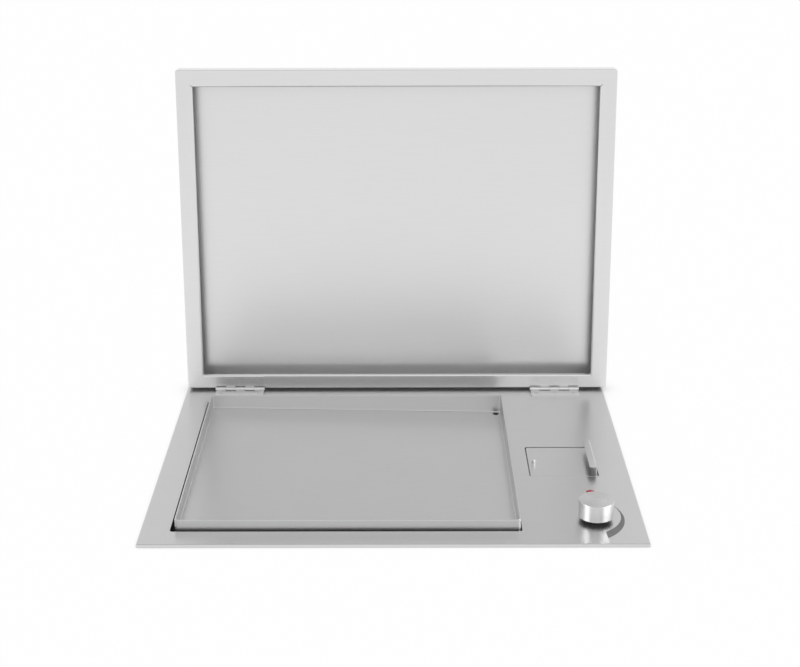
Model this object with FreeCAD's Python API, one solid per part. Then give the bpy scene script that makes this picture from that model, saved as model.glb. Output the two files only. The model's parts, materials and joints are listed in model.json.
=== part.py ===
import FreeCAD, Part
import math
import os

# Built-in electric plancha: a steel panel with a heated tray, a hinged lid, a knob and a grease cup.
# Millimetres. X runs to the right, Y to the back and Z up. The origin is the middle of the panel, on the
# worktop that its rim and seal rest on. The lid is stored open, leaning back.

V = FreeCAD.Vector
UP = V(0, 0, 1)
RIGHT = V(1, 0, 0)
BACK = V(0, 1, 0)

# Cooking tray
TRAY_WIDTH = 480.0
TRAY_DEPTH = 440.0
TRAY_SHEET = 2.5
TRAY_STAND = 14.5
TRAY_CORNER = 5.0
TRAY_BEND = 1.4
TRAY_RIM_ROUND = 0.9
FLOOR_BELOW_PANEL = 3.6
FLOOR_FALL_RIGHT = 8.2
FLOOR_FALL_BACK = 4.1
DRAIN_RADIUS = 5.0
DRAIN_FROM_WALL = 8.0

# Gaps between the tray and the cut-out around it
GAP_LEFT = 6.0
GAP_RIGHT = 1.5
GAP_FRONT = 5.4
GAP_REAR = 4.5
CUTOUT_CORNER = 4.0

# Top panel and its seal
PANEL_SHEET = 1.5
RIM_HEIGHT = 5.0
RIM_BEND = 1.6
BEND_EASE = 0.1
EDGE_EASE = 0.4
MARGIN_LEFT = 41.0
MARGIN_FRONT = 37.6
MARGIN_REAR = 90.5
SEAL_WIDTH = 11.0
SEAL_GAP = 0.5

# Grease hatch and cup
HATCH_SIZE = 100.0
HATCH_CORNER = 3.0
HATCH_GAP = 1.6
HATCH_RECESS = 0.5
HATCH_SHEET = 1.3
HATCH_BEND = 1.0
HATCH_FROM_TRAY = 26.0
HATCH_FROM_FRONT = 209.0
SEAT_GAP = 0.2
GRIP_HEIGHT = 14.5
GRIP_LIP = 11.0
GRIP_SHEET = 1.5
GRIP_END_INSET = 2.0
GRIP_FROM_EDGE = 1.4
GRIP_CORNER = 3.0
GRIP_BEND = 1.0
STUD_RADIUS = 3.0
STUD_HEIGHT = 7.5
STUD_FROM_EDGE = 8.0
STUD_FORWARD = 8.0
WELL_LEDGE = 4.0
LEDGE_DROP = 4.0
WELL_SHEET = 1.2
WELL_FLANGE = 12.0
WELL_DEPTH = 110.0
CUP_SIDE_GAP = 2.5
CUP_FLOOR_GAP = 3.0
CUP_HEIGHT = 40.0
CUP_SHEET = 1.0
CUP_CORNER = 8.0
CUP_TAB = 10.0
CUP_LIP_GAP = 0.5
STRAP_WIDTH = 40.0

# Casing under the worktop
CASING_INSET_SIDE = 26.0
CASING_INSET_FRONT = 30.0
CASING_INSET_REAR = 68.0
CASING_SHEET = 1.2
CASING_HEIGHT = 120.0
CASING_FLANGE = 6.0
CASING_CORNER = 3.0
COVER_LIP = 10.0
SLIDE_GAP = 0.3
VENT_COUNT = 9
VENT_LENGTH = 26.0
VENT_HEIGHT = 4.0
VENT_PITCH = 34.0
VENT_DROP = 70.0
WELL_TO_WALL = 5.0
FLOOR_VENT_COUNT = 7
FLOOR_VENT_PITCH = 12.0
COVER_SCREW_RADIUS = 1.75
COVER_SCREW_HEAD = 3.5
COVER_SCREW_HEAD_HEIGHT = 2.2
COVER_SCREW_LENGTH = 8.0
COVER_SCREW_RISE = 6.0
COVER_SCREW_DOME = 1.3
INSULATION_THICKNESS = 10.0
INSULATION_MARGIN = 8.0
PARTITION_SHEET = 1.0
PARTITION_FROM_TRAY = 8.0
PARTITION_FOOT = 12.0

# Heating pack under the tray
SPREADER_MARGIN = 20.0
SPREADER_THICKNESS = 6.0
SPREADER_NOTCH = 22.0
ELEMENT_RADIUS = 4.25
ELEMENT_FROM_CLIP = 7.65
ELEMENT_LEGS = 4
ELEMENT_END_MARGIN = 26.0
ELEMENT_GAP = 0.1
COLD_END_LENGTH = 16.0
COLD_END_RADIUS = 2.0
BAR_WIDTH = 18.0
BAR_SHEET = 2.0
BAR_COUNT = 3
STACK_STUD_RADIUS = 2.5
NUT_HEIGHT_M5 = 4.0
NUT_FLATS_M5 = 8.0
NUT_CHAMFER = 0.95
REFLECTOR_DROP = 20.0
PROBE_OFFSET = 16.0
CUTOUT_OFFSET = 85.0
BAR_SPACING = 150.0
REFLECTOR_SHEET = 0.8
REFLECTOR_INSET = 4.0
REFLECTOR_CORNER = 6.0
STACK_STUD_TAIL = 1.5
ELEMENT_EDGE = 18.0
REFLECTOR_LIP = 10.0
HOLE_CLEARANCE = 0.25

# Tray supports
SUPPORT_FROM_END = 60.0
SUPPORT_WIDTH = 40.0
SUPPORT_SHEET = 2.5
SUPPORT_DROP = 46.0
SUPPORT_INSET = 10.0
SUPPORT_LAP = 6.0
LEVEL_TAIL = 6.0
SUPPORT_LEG = 28.0
LEVEL_SCREW_RADIUS = 4.0
LEVEL_HEAD_HEIGHT = 5.0
NUT_HEIGHT_M8 = 6.5
NUT_FLATS_M8 = 13.0

# Drain
SPOUT_SHEET = 1.0
SPOUT_LENGTH = 10.0
SPOUT_FLANGE_RADIUS = 11.0
SPOUT_FLANGE_SHEET = 1.5
PIPE_RADIUS = 7.0
PIPE_SHEET = 1.0
PIPE_BEND = 12.0
PIPE_CUP_RADIUS = 11.0
PIPE_CUP_HEIGHT = 10.0
PIPE_DROP = 12.0
PIPE_FALL = 8.0
PIPE_SOCKET = 4.0
PIPE_END_RUN = 30.0

# Control knob, thermostat and lamp
KNOB_FROM_EDGE = 66.5
KNOB_FROM_FRONT = 73.0
KNOB_RADIUS = 24.75
KNOB_HEIGHT = 24.3
KNOB_FLOAT = 6.5
KNOB_EDGE = 0.8
KNOB_WALL = 2.2
KNOB_HUB_RADIUS = 7.0
BEZEL_RADIUS = 19.0
BEZEL_WALL = 2.5
BEZEL_GAP = 0.6
SPINDLE_RADIUS = 3.0
SPINDLE_FLAT = 1.2
SPINDLE_IN_KNOB = 17.0
SPINDLE_IN_BODY = 12.0
RUNNING_GAP = 0.05
BUSH_RADIUS = 5.0
BUSH_ABOVE = 5.0
THERMOSTAT_SIZE = 40.0
THERMOSTAT_HEIGHT = 30.0
THERMOSTAT_CORNER = 3.0
THERMOSTAT_NUT_FLATS = 16.0
THERMOSTAT_NUT_HEIGHT = 3.0
LAMP_BEHIND_KNOB = 82.5
LAMP_OFFSET = 2.2
LAMP_RADIUS = 6.5
LAMP_DOME = 2.2
LAMP_FLANGE = 1.0
LAMP_LAND = 0.8
LAMP_NECK_RADIUS = 4.75
LAMP_BODY_LENGTH = 24.0
LAMP_NUT_FLATS = 13.0
LAMP_NUT_HEIGHT = 3.0

# Capillary sensor and safety cut-out
PROBE_RADIUS = 3.0
PROBE_LENGTH = 110.0
CAPILLARY_RADIUS = 1.0
CAPILLARY_BEND = 10.0
CUTOUT_BODY_RADIUS = 12.0
CUTOUT_BODY_HEIGHT = 16.0
CUTOUT_FLANGE_RADIUS = 14.0
CUTOUT_FLANGE_SHEET = 1.5
SPADE_SHEET = 0.8
SPADE_WIDTH = 6.3
CLIP_SHEET = 1.0
CLIP_WIDTH = 10.0
CLIP_FOOT = 6.0

# Mains inlet
TERMINAL_WAYS = 3
TERMINAL_PITCH = 14.0
TERMINAL_DEPTH = 24.0
TERMINAL_HEIGHT = 20.0
TERMINAL_FROM_WALL = 44.0
TERMINAL_CORNER = 2.0
TERMINAL_HOLE = 3.0
TERMINAL_SLOT_DEPTH = 6.0
EARTH_GAP = 16.0
GLAND_BORE_RADIUS = 4.5
GLAND_THREAD_RADIUS = 10.0
GLAND_FLATS = 24.0
GLAND_NUT_HEIGHT = 6.0
GLAND_BODY_LENGTH = 6.0
GLAND_CAP_LENGTH = 9.0
GLAND_CAP_TAPER = 0.75
GLAND_NUT_FLATS = 27.0
GLAND_TAIL = 2.0
GLAND_DROP = 80.0
GLAND_FROM_EDGE = 60.0

# Lid and hinges
PIN_FROM_REAR = 45.0
KNUCKLE_RADIUS = 3.6
PIN_RISE = 3.9
LID_FACE_RISE = 3.75
PIN_RADIUS = 2.0
PIN_HEAD_RADIUS = 2.9
PIN_HEAD = 1.0
PIN_HEAD_GAP = 0.2
SCREW_SEAT_GAP = 0.1
SCREW_TAIL = 1.0
HINGE_LENGTH = 80.0
KNUCKLE_COUNT = 5
KNUCKLE_GAP = 0.4
LEAF_RELIEF = 1.2
LEAF_SHEET = 2.0
PANEL_LEAF_REACH = 24.0
LID_LEAF_REACH = 21.0
HINGE_LEFT_FROM_EDGE = 90.0
HINGE_RIGHT_FROM_EDGE = 82.0
HINGE_SCREW_RADIUS = 1.5
HINGE_SCREW_HEAD = 2.9
HINGE_SCREW_FROM_PIN = 14.0
HINGE_SCREW_COUNT = 3
HINGE_SCREW_SPACING = 30.5
NUT_HEIGHT_M3 = 2.4
NUT_FLATS_M3 = 5.5
LID_HEIGHT = 35.0
LID_SHEET = 1.2
LID_BEND = 4.0
LID_FRAME_BEND = 1.6
LID_BACK_OFFSET = 0.5
LID_FRAME_WIDTH = 26.5
LID_FRAME_REAR = 23.0
LID_FRAME_LIP = 7.0
LID_HEM_BEND = 2.6
LID_HEM_DEPTH = 4.5
LID_WINDOW_CORNER = 1.5
LID_CORNER = 3.2
LID_OVERHANG = 1.75
LID_SHIFT = 3.75
LID_FRONT_INSET = 1.6
MITRE_SLIT = 0.8
MITRE_LENGTH = 4.5
LID_OPEN_ANGLE = 94.6

# Worktop clamps
CLAMP_FROM_END = 90.0
CLAMP_BRACKET_WIDTH = 24.0
CLAMP_BRACKET_REACH = 13.0
CLAMP_BRACKET_LEG = 14.0
CLAMP_BRACKET_SHEET = 2.0
CLAMP_BRACKET_DROP = 16.0
CLAMP_SCREW_RADIUS = 2.5
CLAMP_SCREW_LENGTH = 48.0
CLAMP_SCREW_HEAD_RADIUS = 4.5
CLAMP_SCREW_HEAD = 3.5
CLAMP_SCREW_ABOVE = 5.0
CLAMP_WALL_GAP = 1.5
CLAMP_ARM_REACH = 16.0
CLAMP_ARM_WIDTH = 12.0
CLAMP_ARM_SHEET = 3.0
CLAMP_ARM_ABOVE_HEAD = 2.0
CLAMP_ARM_LIP = 5.0

# Places worked out from the sizes above
WELL_INSIDE = HATCH_SIZE - 2 * WELL_LEDGE
HATCH_TO_EDGE = CASING_INSET_SIDE + CASING_SHEET + WELL_TO_WALL + WELL_FLANGE + WELL_SHEET + HATCH_GAP
PANEL_WIDTH = MARGIN_LEFT + GAP_LEFT + TRAY_WIDTH + HATCH_FROM_TRAY + HATCH_SIZE + HATCH_TO_EDGE
PANEL_DEPTH = MARGIN_FRONT + GAP_FRONT + TRAY_DEPTH + GAP_REAR + MARGIN_REAR
PANEL_LEFT = -PANEL_WIDTH / 2
PANEL_RIGHT = PANEL_WIDTH / 2
PANEL_FRONT = -PANEL_DEPTH / 2
PANEL_REAR = PANEL_DEPTH / 2
PANEL_TOP = RIM_HEIGHT
PANEL_UNDER = PANEL_TOP - PANEL_SHEET
TRAY_LEFT = PANEL_LEFT + MARGIN_LEFT + GAP_LEFT
TRAY_RIGHT = TRAY_LEFT + TRAY_WIDTH
TRAY_FRONT = PANEL_FRONT + MARGIN_FRONT + GAP_FRONT
TRAY_REAR = TRAY_FRONT + TRAY_DEPTH
TRAY_TOP = PANEL_TOP + TRAY_STAND
TRAY_MID = V((TRAY_LEFT + TRAY_RIGHT) / 2, (TRAY_FRONT + TRAY_REAR) / 2, 0)
SLOPE_RIGHT = FLOOR_FALL_RIGHT / TRAY_WIDTH
SLOPE_BACK = FLOOR_FALL_BACK / TRAY_DEPTH
DRAIN_X = TRAY_RIGHT - TRAY_SHEET - DRAIN_FROM_WALL
DRAIN_Y = TRAY_REAR - TRAY_SHEET - DRAIN_FROM_WALL
HATCH_X = TRAY_RIGHT + HATCH_FROM_TRAY + HATCH_SIZE / 2
HATCH_Y = PANEL_FRONT + HATCH_FROM_FRONT + HATCH_SIZE / 2
WELL_BOTTOM = PANEL_UNDER - WELL_DEPTH
CUP_HALF = WELL_INSIDE / 2 - CUP_SIDE_GAP
CUP_BOTTOM = WELL_BOTTOM + WELL_SHEET + CUP_FLOOR_GAP
LEDGE_TOP = PANEL_UNDER - LEDGE_DROP
HATCH_UNDER = LEDGE_TOP + SEAT_GAP
HATCH_TOP = PANEL_TOP - HATCH_RECESS
PLATE_UNDER = HATCH_TOP - HATCH_SHEET
CASING_LEFT = PANEL_LEFT + CASING_INSET_SIDE
CASING_RIGHT = PANEL_RIGHT - CASING_INSET_SIDE
CASING_FRONT = PANEL_FRONT + CASING_INSET_FRONT
CASING_REAR = PANEL_REAR - CASING_INSET_REAR
CASING_BOTTOM = PANEL_UNDER - CASING_HEIGHT
PARTITION_X = TRAY_RIGHT + PARTITION_FROM_TRAY
KNOB_X = PANEL_RIGHT - KNOB_FROM_EDGE
KNOB_Y = PANEL_FRONT + KNOB_FROM_FRONT
KNOB_BOTTOM = PANEL_TOP + KNOB_FLOAT
KNOB_TOP = KNOB_BOTTOM + KNOB_HEIGHT
LAMP_X = KNOB_X + LAMP_OFFSET
LAMP_Y = KNOB_Y + LAMP_BEHIND_KNOB
PIN_Y = PANEL_REAR - PIN_FROM_REAR
PIN_Z = PANEL_TOP + PIN_RISE
HINGES = {"left": PANEL_LEFT + HINGE_LEFT_FROM_EDGE, "right": PANEL_RIGHT - HINGE_RIGHT_FROM_EDGE}
LID_UNDER = PIN_Z + LID_FACE_RISE
LID_REAR = PIN_Y - LID_BACK_OFFSET
EPS = 1.0
ANGLE_SLACK = 0.1
LENGTH_SLACK = 1e-6


def box(x0, x1, y0, y1, z0, z1):
    return Part.makeBox(x1 - x0, y1 - y0, z1 - z0, V(x0, y0, z0))


def rounded_box(x0, x1, y0, y1, z0, z1, radius):
    """Box with its four upright edges rounded."""
    block = box(x0, x1, y0, y1, z0, z1)
    return block.makeFillet(radius, along(block, UP))


def inset_box(outer, inset, z0, z1, radius):
    """Rounded box over the rectangle outer = (x0, x1, y0, y1), drawn in by inset on all sides."""
    x0, x1, y0, y1 = outer
    return rounded_box(x0 + inset, x1 - inset, y0 + inset, y1 - inset, z0, z1, radius)


def rod(radius, start, end):
    """Cylinder between two points."""
    along = end - start
    return Part.makeCylinder(radius, along.Length, start, along)


def post(radius, x, y, z0, z1):
    return rod(radius, V(x, y, z0), V(x, y, z1))


def edges_at(shape, z):
    """Edges that lie flat at height z."""
    return [e for e in shape.Edges if all(abs(v.Z - z) < LENGTH_SLACK for v in e.Vertexes)]


def round_edges_at(shape, z, radius):
    return shape.makeFillet(radius, edges_at(shape, z))


def hexagon(flats, height):
    """Hexagonal prism on the origin, two of its flats facing along Y."""
    corner = flats / math.sqrt(3)
    turns = [k * math.pi / 3 for k in range(7)]
    points = [V(corner * math.cos(t), corner * math.sin(t), 0) for t in turns]
    return Part.Face(Part.makePolygon(points)).extrude(UP * height)


def nut(flats, height, hole):
    """Hexagon nut on the origin with its chamfered outer face up."""
    body = hexagon(flats, height)
    chamfer = Part.makeCone(flats / 2 + height, flats / 2 * NUT_CHAMFER, height)
    return body.common(chamfer).cut(Part.makeCylinder(hole, height))


def placed(shape, point, direction=UP):
    """Copy of a shape made on the origin, its Z axis turned to a direction and moved to a point."""
    copy = shape.copy()
    copy.Placement = FreeCAD.Placement(point, FreeCAD.Rotation(UP, direction))
    return copy


def rounded_path(points, radius):
    """Wire through the points with its corners rounded by tangent arcs."""
    edges = []
    start = points[0]
    for before, corner, after in zip(points, points[1:], points[2:]):
        into = (corner - before).normalize()
        out = (after - corner).normalize()
        half_turn = into.getAngle(out) / 2
        reach = radius * math.tan(half_turn)
        first = corner - into * reach
        last = corner + out * reach
        inward = (out - into).normalize()
        middle = corner + inward * (radius / math.cos(half_turn) - radius)
        edges.append(Part.makeLine(start, first))
        edges.append(Part.Arc(first, middle, last).toShape())
        start = last
    edges.append(Part.makeLine(start, points[-1]))
    return Part.Wire(edges)


def tube(path, radius):
    """Solid rod of round section along a path."""
    start = path.Edges[0].valueAt(path.Edges[0].FirstParameter)
    along = path.Edges[0].tangentAt(path.Edges[0].FirstParameter)
    profile = Part.Wire(Part.makeCircle(radius, start, along))
    return path.makePipeShell([profile], True, False)


def countersunk_screw(shank, head, length, gap=0.0):
    """Countersunk screw on the origin, its flat head at the top and its shank down."""
    depth = head - shank
    cone = Part.makeCone(shank + gap, head + gap, depth, V(0, 0, -depth))
    return Part.makeCylinder(shank + gap, length, V(0, 0, -length)).fuse(cone).removeSplitter()


def pan_screw(shank, head, head_height, dome, length):
    """Pan-head screw on the origin: the head above, the shank below."""
    top = round_edges_at(Part.makeCylinder(head, head_height), head_height, dome)
    return top.fuse(Part.makeCylinder(shank, length, V(0, 0, -length))).removeSplitter()


def group(solids):
    return Part.makeCompound(solids)


def one_of(shapes):
    """Shapes fused into one solid."""
    return shapes[0].multiFuse(shapes[1:]).removeSplitter()


PANEL_RECT = (PANEL_LEFT, PANEL_RIGHT, PANEL_FRONT, PANEL_REAR)
TRAY_RECT = (TRAY_LEFT, TRAY_RIGHT, TRAY_FRONT, TRAY_REAR)
CASING_RECT = (CASING_LEFT, CASING_RIGHT, CASING_FRONT, CASING_REAR)
CUTOUT_RECT = (TRAY_LEFT - GAP_LEFT, TRAY_RIGHT + GAP_RIGHT, TRAY_FRONT - GAP_FRONT, TRAY_REAR + GAP_REAR)
LID_LEFT = PANEL_LEFT - LID_OVERHANG + LID_SHIFT
LID_RIGHT = PANEL_RIGHT + LID_OVERHANG + LID_SHIFT
LID_FRONT = PANEL_FRONT + LID_FRONT_INSET
LID_RECT = (LID_LEFT, LID_RIGHT, LID_FRONT, LID_REAR)
LID_WINDOW = (
    LID_LEFT + LID_FRAME_WIDTH,
    LID_RIGHT - LID_FRAME_WIDTH,
    LID_FRONT + LID_FRAME_WIDTH,
    LID_REAR - LID_FRAME_REAR,
)
FLOOR_NORMAL = V(SLOPE_RIGHT, SLOPE_BACK, 1).normalize()


def square(half):
    """Rectangle around the hatch's centre, half a side each way."""
    return (HATCH_X - half, HATCH_X + half, HATCH_Y - half, HATCH_Y + half)


def hinge_screw_points(height):
    """Places of the hinge screws at one height, in rows a set distance in front of the hinge pins."""
    first = -HINGE_SCREW_SPACING * (HINGE_SCREW_COUNT - 1) / 2
    return [
        V(x + first + k * HINGE_SCREW_SPACING, PIN_Y - HINGE_SCREW_FROM_PIN, height)
        for x in HINGES.values()
        for k in range(HINGE_SCREW_COUNT)
    ]


def top_panel():
    """Folded sheet: a flat top, a rim turned down all round, and the openings."""
    outer = inset_box(PANEL_RECT, 0, 0, PANEL_TOP, RIM_BEND)
    outer = round_edges_at(outer, PANEL_TOP, RIM_BEND - BEND_EASE)
    hatch = square(HATCH_SIZE / 2 + HATCH_GAP)
    inner = inset_box(PANEL_RECT, PANEL_SHEET, -EPS, PANEL_UNDER, RIM_BEND - PANEL_SHEET)
    openings = [
        inset_box(CUTOUT_RECT, 0, 0, PANEL_TOP + EPS, CUTOUT_CORNER),
        inset_box(hatch, 0, 0, PANEL_TOP + EPS, HATCH_CORNER + HATCH_GAP),
        post(BUSH_RADIUS + HOLE_CLEARANCE, KNOB_X, KNOB_Y, 0, PANEL_TOP + EPS),
        post(LAMP_NECK_RADIUS + HOLE_CLEARANCE, LAMP_X, LAMP_Y, 0, PANEL_TOP + EPS),
    ]
    hole = HINGE_SCREW_RADIUS + HOLE_CLEARANCE
    openings += [post(hole, p.x, p.y, 0, PANEL_TOP + EPS) for p in hinge_screw_points(0)]
    panel = outer.cut([inner] + openings)
    cut_edges = [e for e in edges_at(panel, PANEL_TOP) if near(hatch, e) or near(CUTOUT_RECT, e)]
    return panel.makeFillet(EDGE_EASE, cut_edges)


def near(rect, edge):
    """True for an edge that lies along the outline of a rectangle."""
    x0, x1, y0, y1 = rect
    point = edge.valueAt((edge.FirstParameter + edge.LastParameter) / 2)
    inside = x0 - EPS < point.x < x1 + EPS and y0 - EPS < point.y < y1 + EPS
    reach = min(point.x - x0, x1 - point.x, point.y - y0, y1 - point.y)
    return inside and reach < CUTOUT_CORNER


def worktop_seal():
    inset = PANEL_SHEET + SEAL_GAP
    outer = inset_box(PANEL_RECT, inset, 0, PANEL_UNDER, RIM_BEND)
    return outer.cut(inset_box(PANEL_RECT, inset + SEAL_WIDTH, -EPS, PANEL_TOP, RIM_BEND))


def floor_height(x, y):
    """Height of the cooking surface, which falls to the right and to the back."""
    front_left = PANEL_TOP - FLOOR_BELOW_PANEL
    return front_left - (x - TRAY_LEFT) * SLOPE_RIGHT - (y - TRAY_FRONT) * SLOPE_BACK


def below_floor(depth):
    """Frame parallel to the cooking surface, a depth under it, at the tray's middle."""
    middle = V(TRAY_MID.x, TRAY_MID.y, floor_height(TRAY_MID.x, TRAY_MID.y))
    return FreeCAD.Placement(middle - FLOOR_NORMAL * depth, FreeCAD.Rotation(UP, FLOOR_NORMAL))


def tray_block(inset, depth, top, corner, bend):
    """Upright block over the tray, cut off by a plane under its sloping floor, with bent lower edges."""
    block = inset_box(TRAY_RECT, inset, CASING_BOTTOM, top, corner)
    size = TRAY_WIDTH + TRAY_DEPTH
    under = Part.makeBox(2 * size, 2 * size, size, V(-size, -size, -size))
    under.Placement = below_floor(depth)
    block = block.cut(under)
    sloping = min(block.Faces, key=lambda f: f.CenterOfMass.z)
    return block.makeFillet(bend, sloping.OuterWire.Edges)


def griddle_tray():
    outer = tray_block(0, TRAY_SHEET, TRAY_TOP, TRAY_CORNER, TRAY_BEND + TRAY_SHEET - BEND_EASE)
    inner = tray_block(TRAY_SHEET, 0, TRAY_TOP + EPS, TRAY_CORNER - TRAY_SHEET, TRAY_BEND)
    tray = round_edges_at(outer.cut(inner), TRAY_TOP, TRAY_RIM_ROUND)
    return tray.cut(post(DRAIN_RADIUS, DRAIN_X, DRAIN_Y, CASING_BOTTOM, PANEL_TOP))


def casing():
    """Four walls with a flange turned out under the panel, side vents and a hole for the cable gland."""
    walls = inset_box(CASING_RECT, 0, CASING_BOTTOM, PANEL_UNDER, CASING_CORNER)
    flange = inset_box(CASING_RECT, -CASING_FLANGE, PANEL_UNDER - CASING_SHEET, PANEL_UNDER, CASING_CORNER)
    corner = CASING_CORNER - CASING_SHEET
    inside = inset_box(CASING_RECT, CASING_SHEET, CASING_BOTTOM - EPS, PANEL_UNDER + EPS, corner)
    first = (CASING_FRONT + CASING_REAR - VENT_PITCH * (VENT_COUNT - 1)) / 2
    slots = []
    for k in range(VENT_COUNT):
        y = first + k * VENT_PITCH
        z = PANEL_UNDER - VENT_DROP
        slots.append(box(CASING_LEFT - EPS, CASING_RIGHT + EPS, y - VENT_LENGTH / 2, y + VENT_LENGTH / 2,
                         z - VENT_HEIGHT / 2, z + VENT_HEIGHT / 2))
    gland_hole = GLAND_THREAD_RADIUS + HOLE_CLEARANCE
    gland = rod(gland_hole, gland_point(-2 * CASING_SHEET), gland_point(CASING_SHEET))
    hole = COVER_SCREW_RADIUS + HOLE_CLEARANCE
    screws = [rod(hole, p - d * COVER_SCREW_LENGTH, p + d) for p, d in cover_screw_places()]
    return walls.fuse(flange).cut([inside, gland] + slots + screws).removeSplitter()


def cover_screw_places():
    """Places and outward directions of the screws that hold the bottom cover in the casing's walls."""
    z = CASING_BOTTOM + COVER_SCREW_RISE
    middle = (CASING_FRONT + CASING_REAR) / 2
    quarter_x = (CASING_RIGHT - CASING_LEFT) / 4
    quarter_y = (CASING_REAR - CASING_FRONT) / 4
    places = []
    for x in (-quarter_x, quarter_x):
        places.append((V(x, CASING_FRONT, z), -BACK))
        places.append((V(x, CASING_REAR, z), BACK))
    for y in (middle - quarter_y, middle + quarter_y):
        places.append((V(CASING_LEFT, y, z), -RIGHT))
        places.append((V(CASING_RIGHT, y, z), RIGHT))
    return places


def casing_screws():
    head = (COVER_SCREW_HEAD, COVER_SCREW_HEAD_HEIGHT, COVER_SCREW_DOME)
    screw = pan_screw(COVER_SCREW_RADIUS, *head, COVER_SCREW_LENGTH)
    return group([placed(screw, p, d) for p, d in cover_screw_places()])


def casing_bottom():
    """Shallow tray that closes the casing from below, with vent slots under the controls."""
    inset = CASING_SHEET + SLIDE_GAP
    corner = CASING_CORNER - CASING_SHEET
    outer = inset_box(CASING_RECT, inset, CASING_BOTTOM, CASING_BOTTOM + COVER_LIP, corner)
    inner = inset_box(CASING_RECT, inset + CASING_SHEET, CASING_BOTTOM + CASING_SHEET, PANEL_UNDER, corner)
    slots = []
    for k in range(FLOOR_VENT_COUNT):
        y = KNOB_Y + FLOOR_VENT_PITCH * k
        x = (PARTITION_X + CASING_RIGHT) / 2
        low = CASING_BOTTOM - EPS
        high = CASING_BOTTOM + CASING_SHEET + EPS
        slots.append(box(x - VENT_LENGTH, x + VENT_LENGTH, y, y + VENT_HEIGHT, low, high))
    hole = COVER_SCREW_RADIUS + HOLE_CLEARANCE
    screws = [rod(hole, p - d * COVER_SCREW_LENGTH, p) for p, d in cover_screw_places()]
    return outer.cut([inner] + slots + screws)


def insulation_board():
    inset = CASING_SHEET + SLIDE_GAP + CASING_SHEET + INSULATION_MARGIN
    low = CASING_BOTTOM + CASING_SHEET
    high = low + INSULATION_THICKNESS
    right = PARTITION_X - INSULATION_MARGIN
    front = CASING_FRONT + inset
    return rounded_box(CASING_LEFT + inset, right, front, CASING_REAR - inset, low, high, INSULATION_MARGIN)


def partition():
    """Upright sheet between the hot tray and the controls, with a foot and holes for the pipes."""
    inset = CASING_SHEET + SLIDE_GAP + CASING_SHEET + SLIDE_GAP
    low = CASING_BOTTOM + CASING_SHEET
    sheet = box(PARTITION_X, PARTITION_X + PARTITION_SHEET, CASING_FRONT + inset, CASING_REAR - inset,
                low, PANEL_UNDER - SLIDE_GAP)
    foot = box(PARTITION_X, PARTITION_X + PARTITION_FOOT, CASING_FRONT + inset, CASING_REAR - inset,
               low, low + PARTITION_SHEET)
    pipe_hole = tube(pipe_path(), PIPE_RADIUS + EPS)
    capillary_hole = tube(capillary_path(), CAPILLARY_RADIUS + EPS)
    return sheet.fuse(foot).cut([pipe_hole, capillary_hole]).removeSplitter()


def support_points():
    """Places of the four levelling screws under the tray, with the wall that carries each bracket."""
    places = []
    for x in (TRAY_LEFT + SUPPORT_FROM_END, TRAY_RIGHT - SUPPORT_FROM_END):
        places.append((x, TRAY_FRONT + SUPPORT_INSET, CASING_FRONT + CASING_SHEET, 1))
        places.append((x, TRAY_REAR - SUPPORT_INSET, CASING_REAR - CASING_SHEET, -1))
    return places


def support_brackets():
    """Angle brackets on the casing's front and rear walls."""
    top = PANEL_UNDER - SUPPORT_DROP
    brackets = []
    for x, y, wall, inward in support_points():
        x0 = x - SUPPORT_WIDTH / 2
        x1 = x + SUPPORT_WIDTH / 2
        end = y + inward * SUPPORT_LAP
        leg_face = wall + inward * SUPPORT_SHEET
        shelf = box(x0, x1, min(wall, end), max(wall, end), top - SUPPORT_SHEET, top)
        leg = box(x0, x1, min(wall, leg_face), max(wall, leg_face), top - SUPPORT_LEG, top)
        hole = post(LEVEL_SCREW_RADIUS + HOLE_CLEARANCE, x, y, top - SUPPORT_SHEET - EPS, top + EPS)
        brackets.append(shelf.fuse(leg).cut(hole).removeSplitter())
    return group(brackets)


def levelling_screws():
    """Screws that stand on the brackets' nuts and carry the sloping floor at four different heights."""
    screws = []
    low = PANEL_UNDER - SUPPORT_DROP - SUPPORT_SHEET - LEVEL_TAIL
    for x, y, wall, inward in support_points():
        under = floor_height(x, y) - TRAY_SHEET / FLOOR_NORMAL.z
        tip = under - LEVEL_SCREW_RADIUS * (SLOPE_RIGHT + SLOPE_BACK)
        head = placed(hexagon(NUT_FLATS_M8, LEVEL_HEAD_HEIGHT), V(x, y, low - LEVEL_HEAD_HEIGHT))
        screws.append(head.fuse(post(LEVEL_SCREW_RADIUS, x, y, low, tip)).removeSplitter())
    return group(screws)


def levelling_nuts():
    shape = nut(NUT_FLATS_M8, NUT_HEIGHT_M8, LEVEL_SCREW_RADIUS + HOLE_CLEARANCE)
    top = PANEL_UNDER - SUPPORT_DROP
    return group([placed(shape, V(x, y, top)) for x, y, wall, inward in support_points()])


# Heights inside the heating pack, measured down from the tray's underside
ELEMENT_Z = -SPREADER_THICKNESS - ELEMENT_GAP - ELEMENT_RADIUS
BAR_TOP = ELEMENT_Z - ELEMENT_RADIUS - ELEMENT_GAP
PAN_TOP = BAR_TOP - REFLECTOR_DROP
PROBE_Z = -SPREADER_THICKNESS - ELEMENT_GAP - PROBE_RADIUS
PACK_HALF_X = TRAY_WIDTH / 2 - SPREADER_MARGIN
PACK_HALF_Y = TRAY_DEPTH / 2 - SPREADER_MARGIN
CLIP_HALF = PROBE_RADIUS + ELEMENT_GAP + CLIP_SHEET + CLIP_FOOT
ELEMENT_INNER_Y = PROBE_OFFSET + CLIP_HALF + ELEMENT_FROM_CLIP + ELEMENT_RADIUS
ELEMENT_OUTER_Y = PACK_HALF_Y - ELEMENT_EDGE
ELEMENT_MID_Y = (ELEMENT_INNER_Y + ELEMENT_OUTER_Y) / 2
ELEMENT_BEND = (ELEMENT_OUTER_Y - ELEMENT_INNER_Y) / (2 * (ELEMENT_LEGS - 1))


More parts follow.
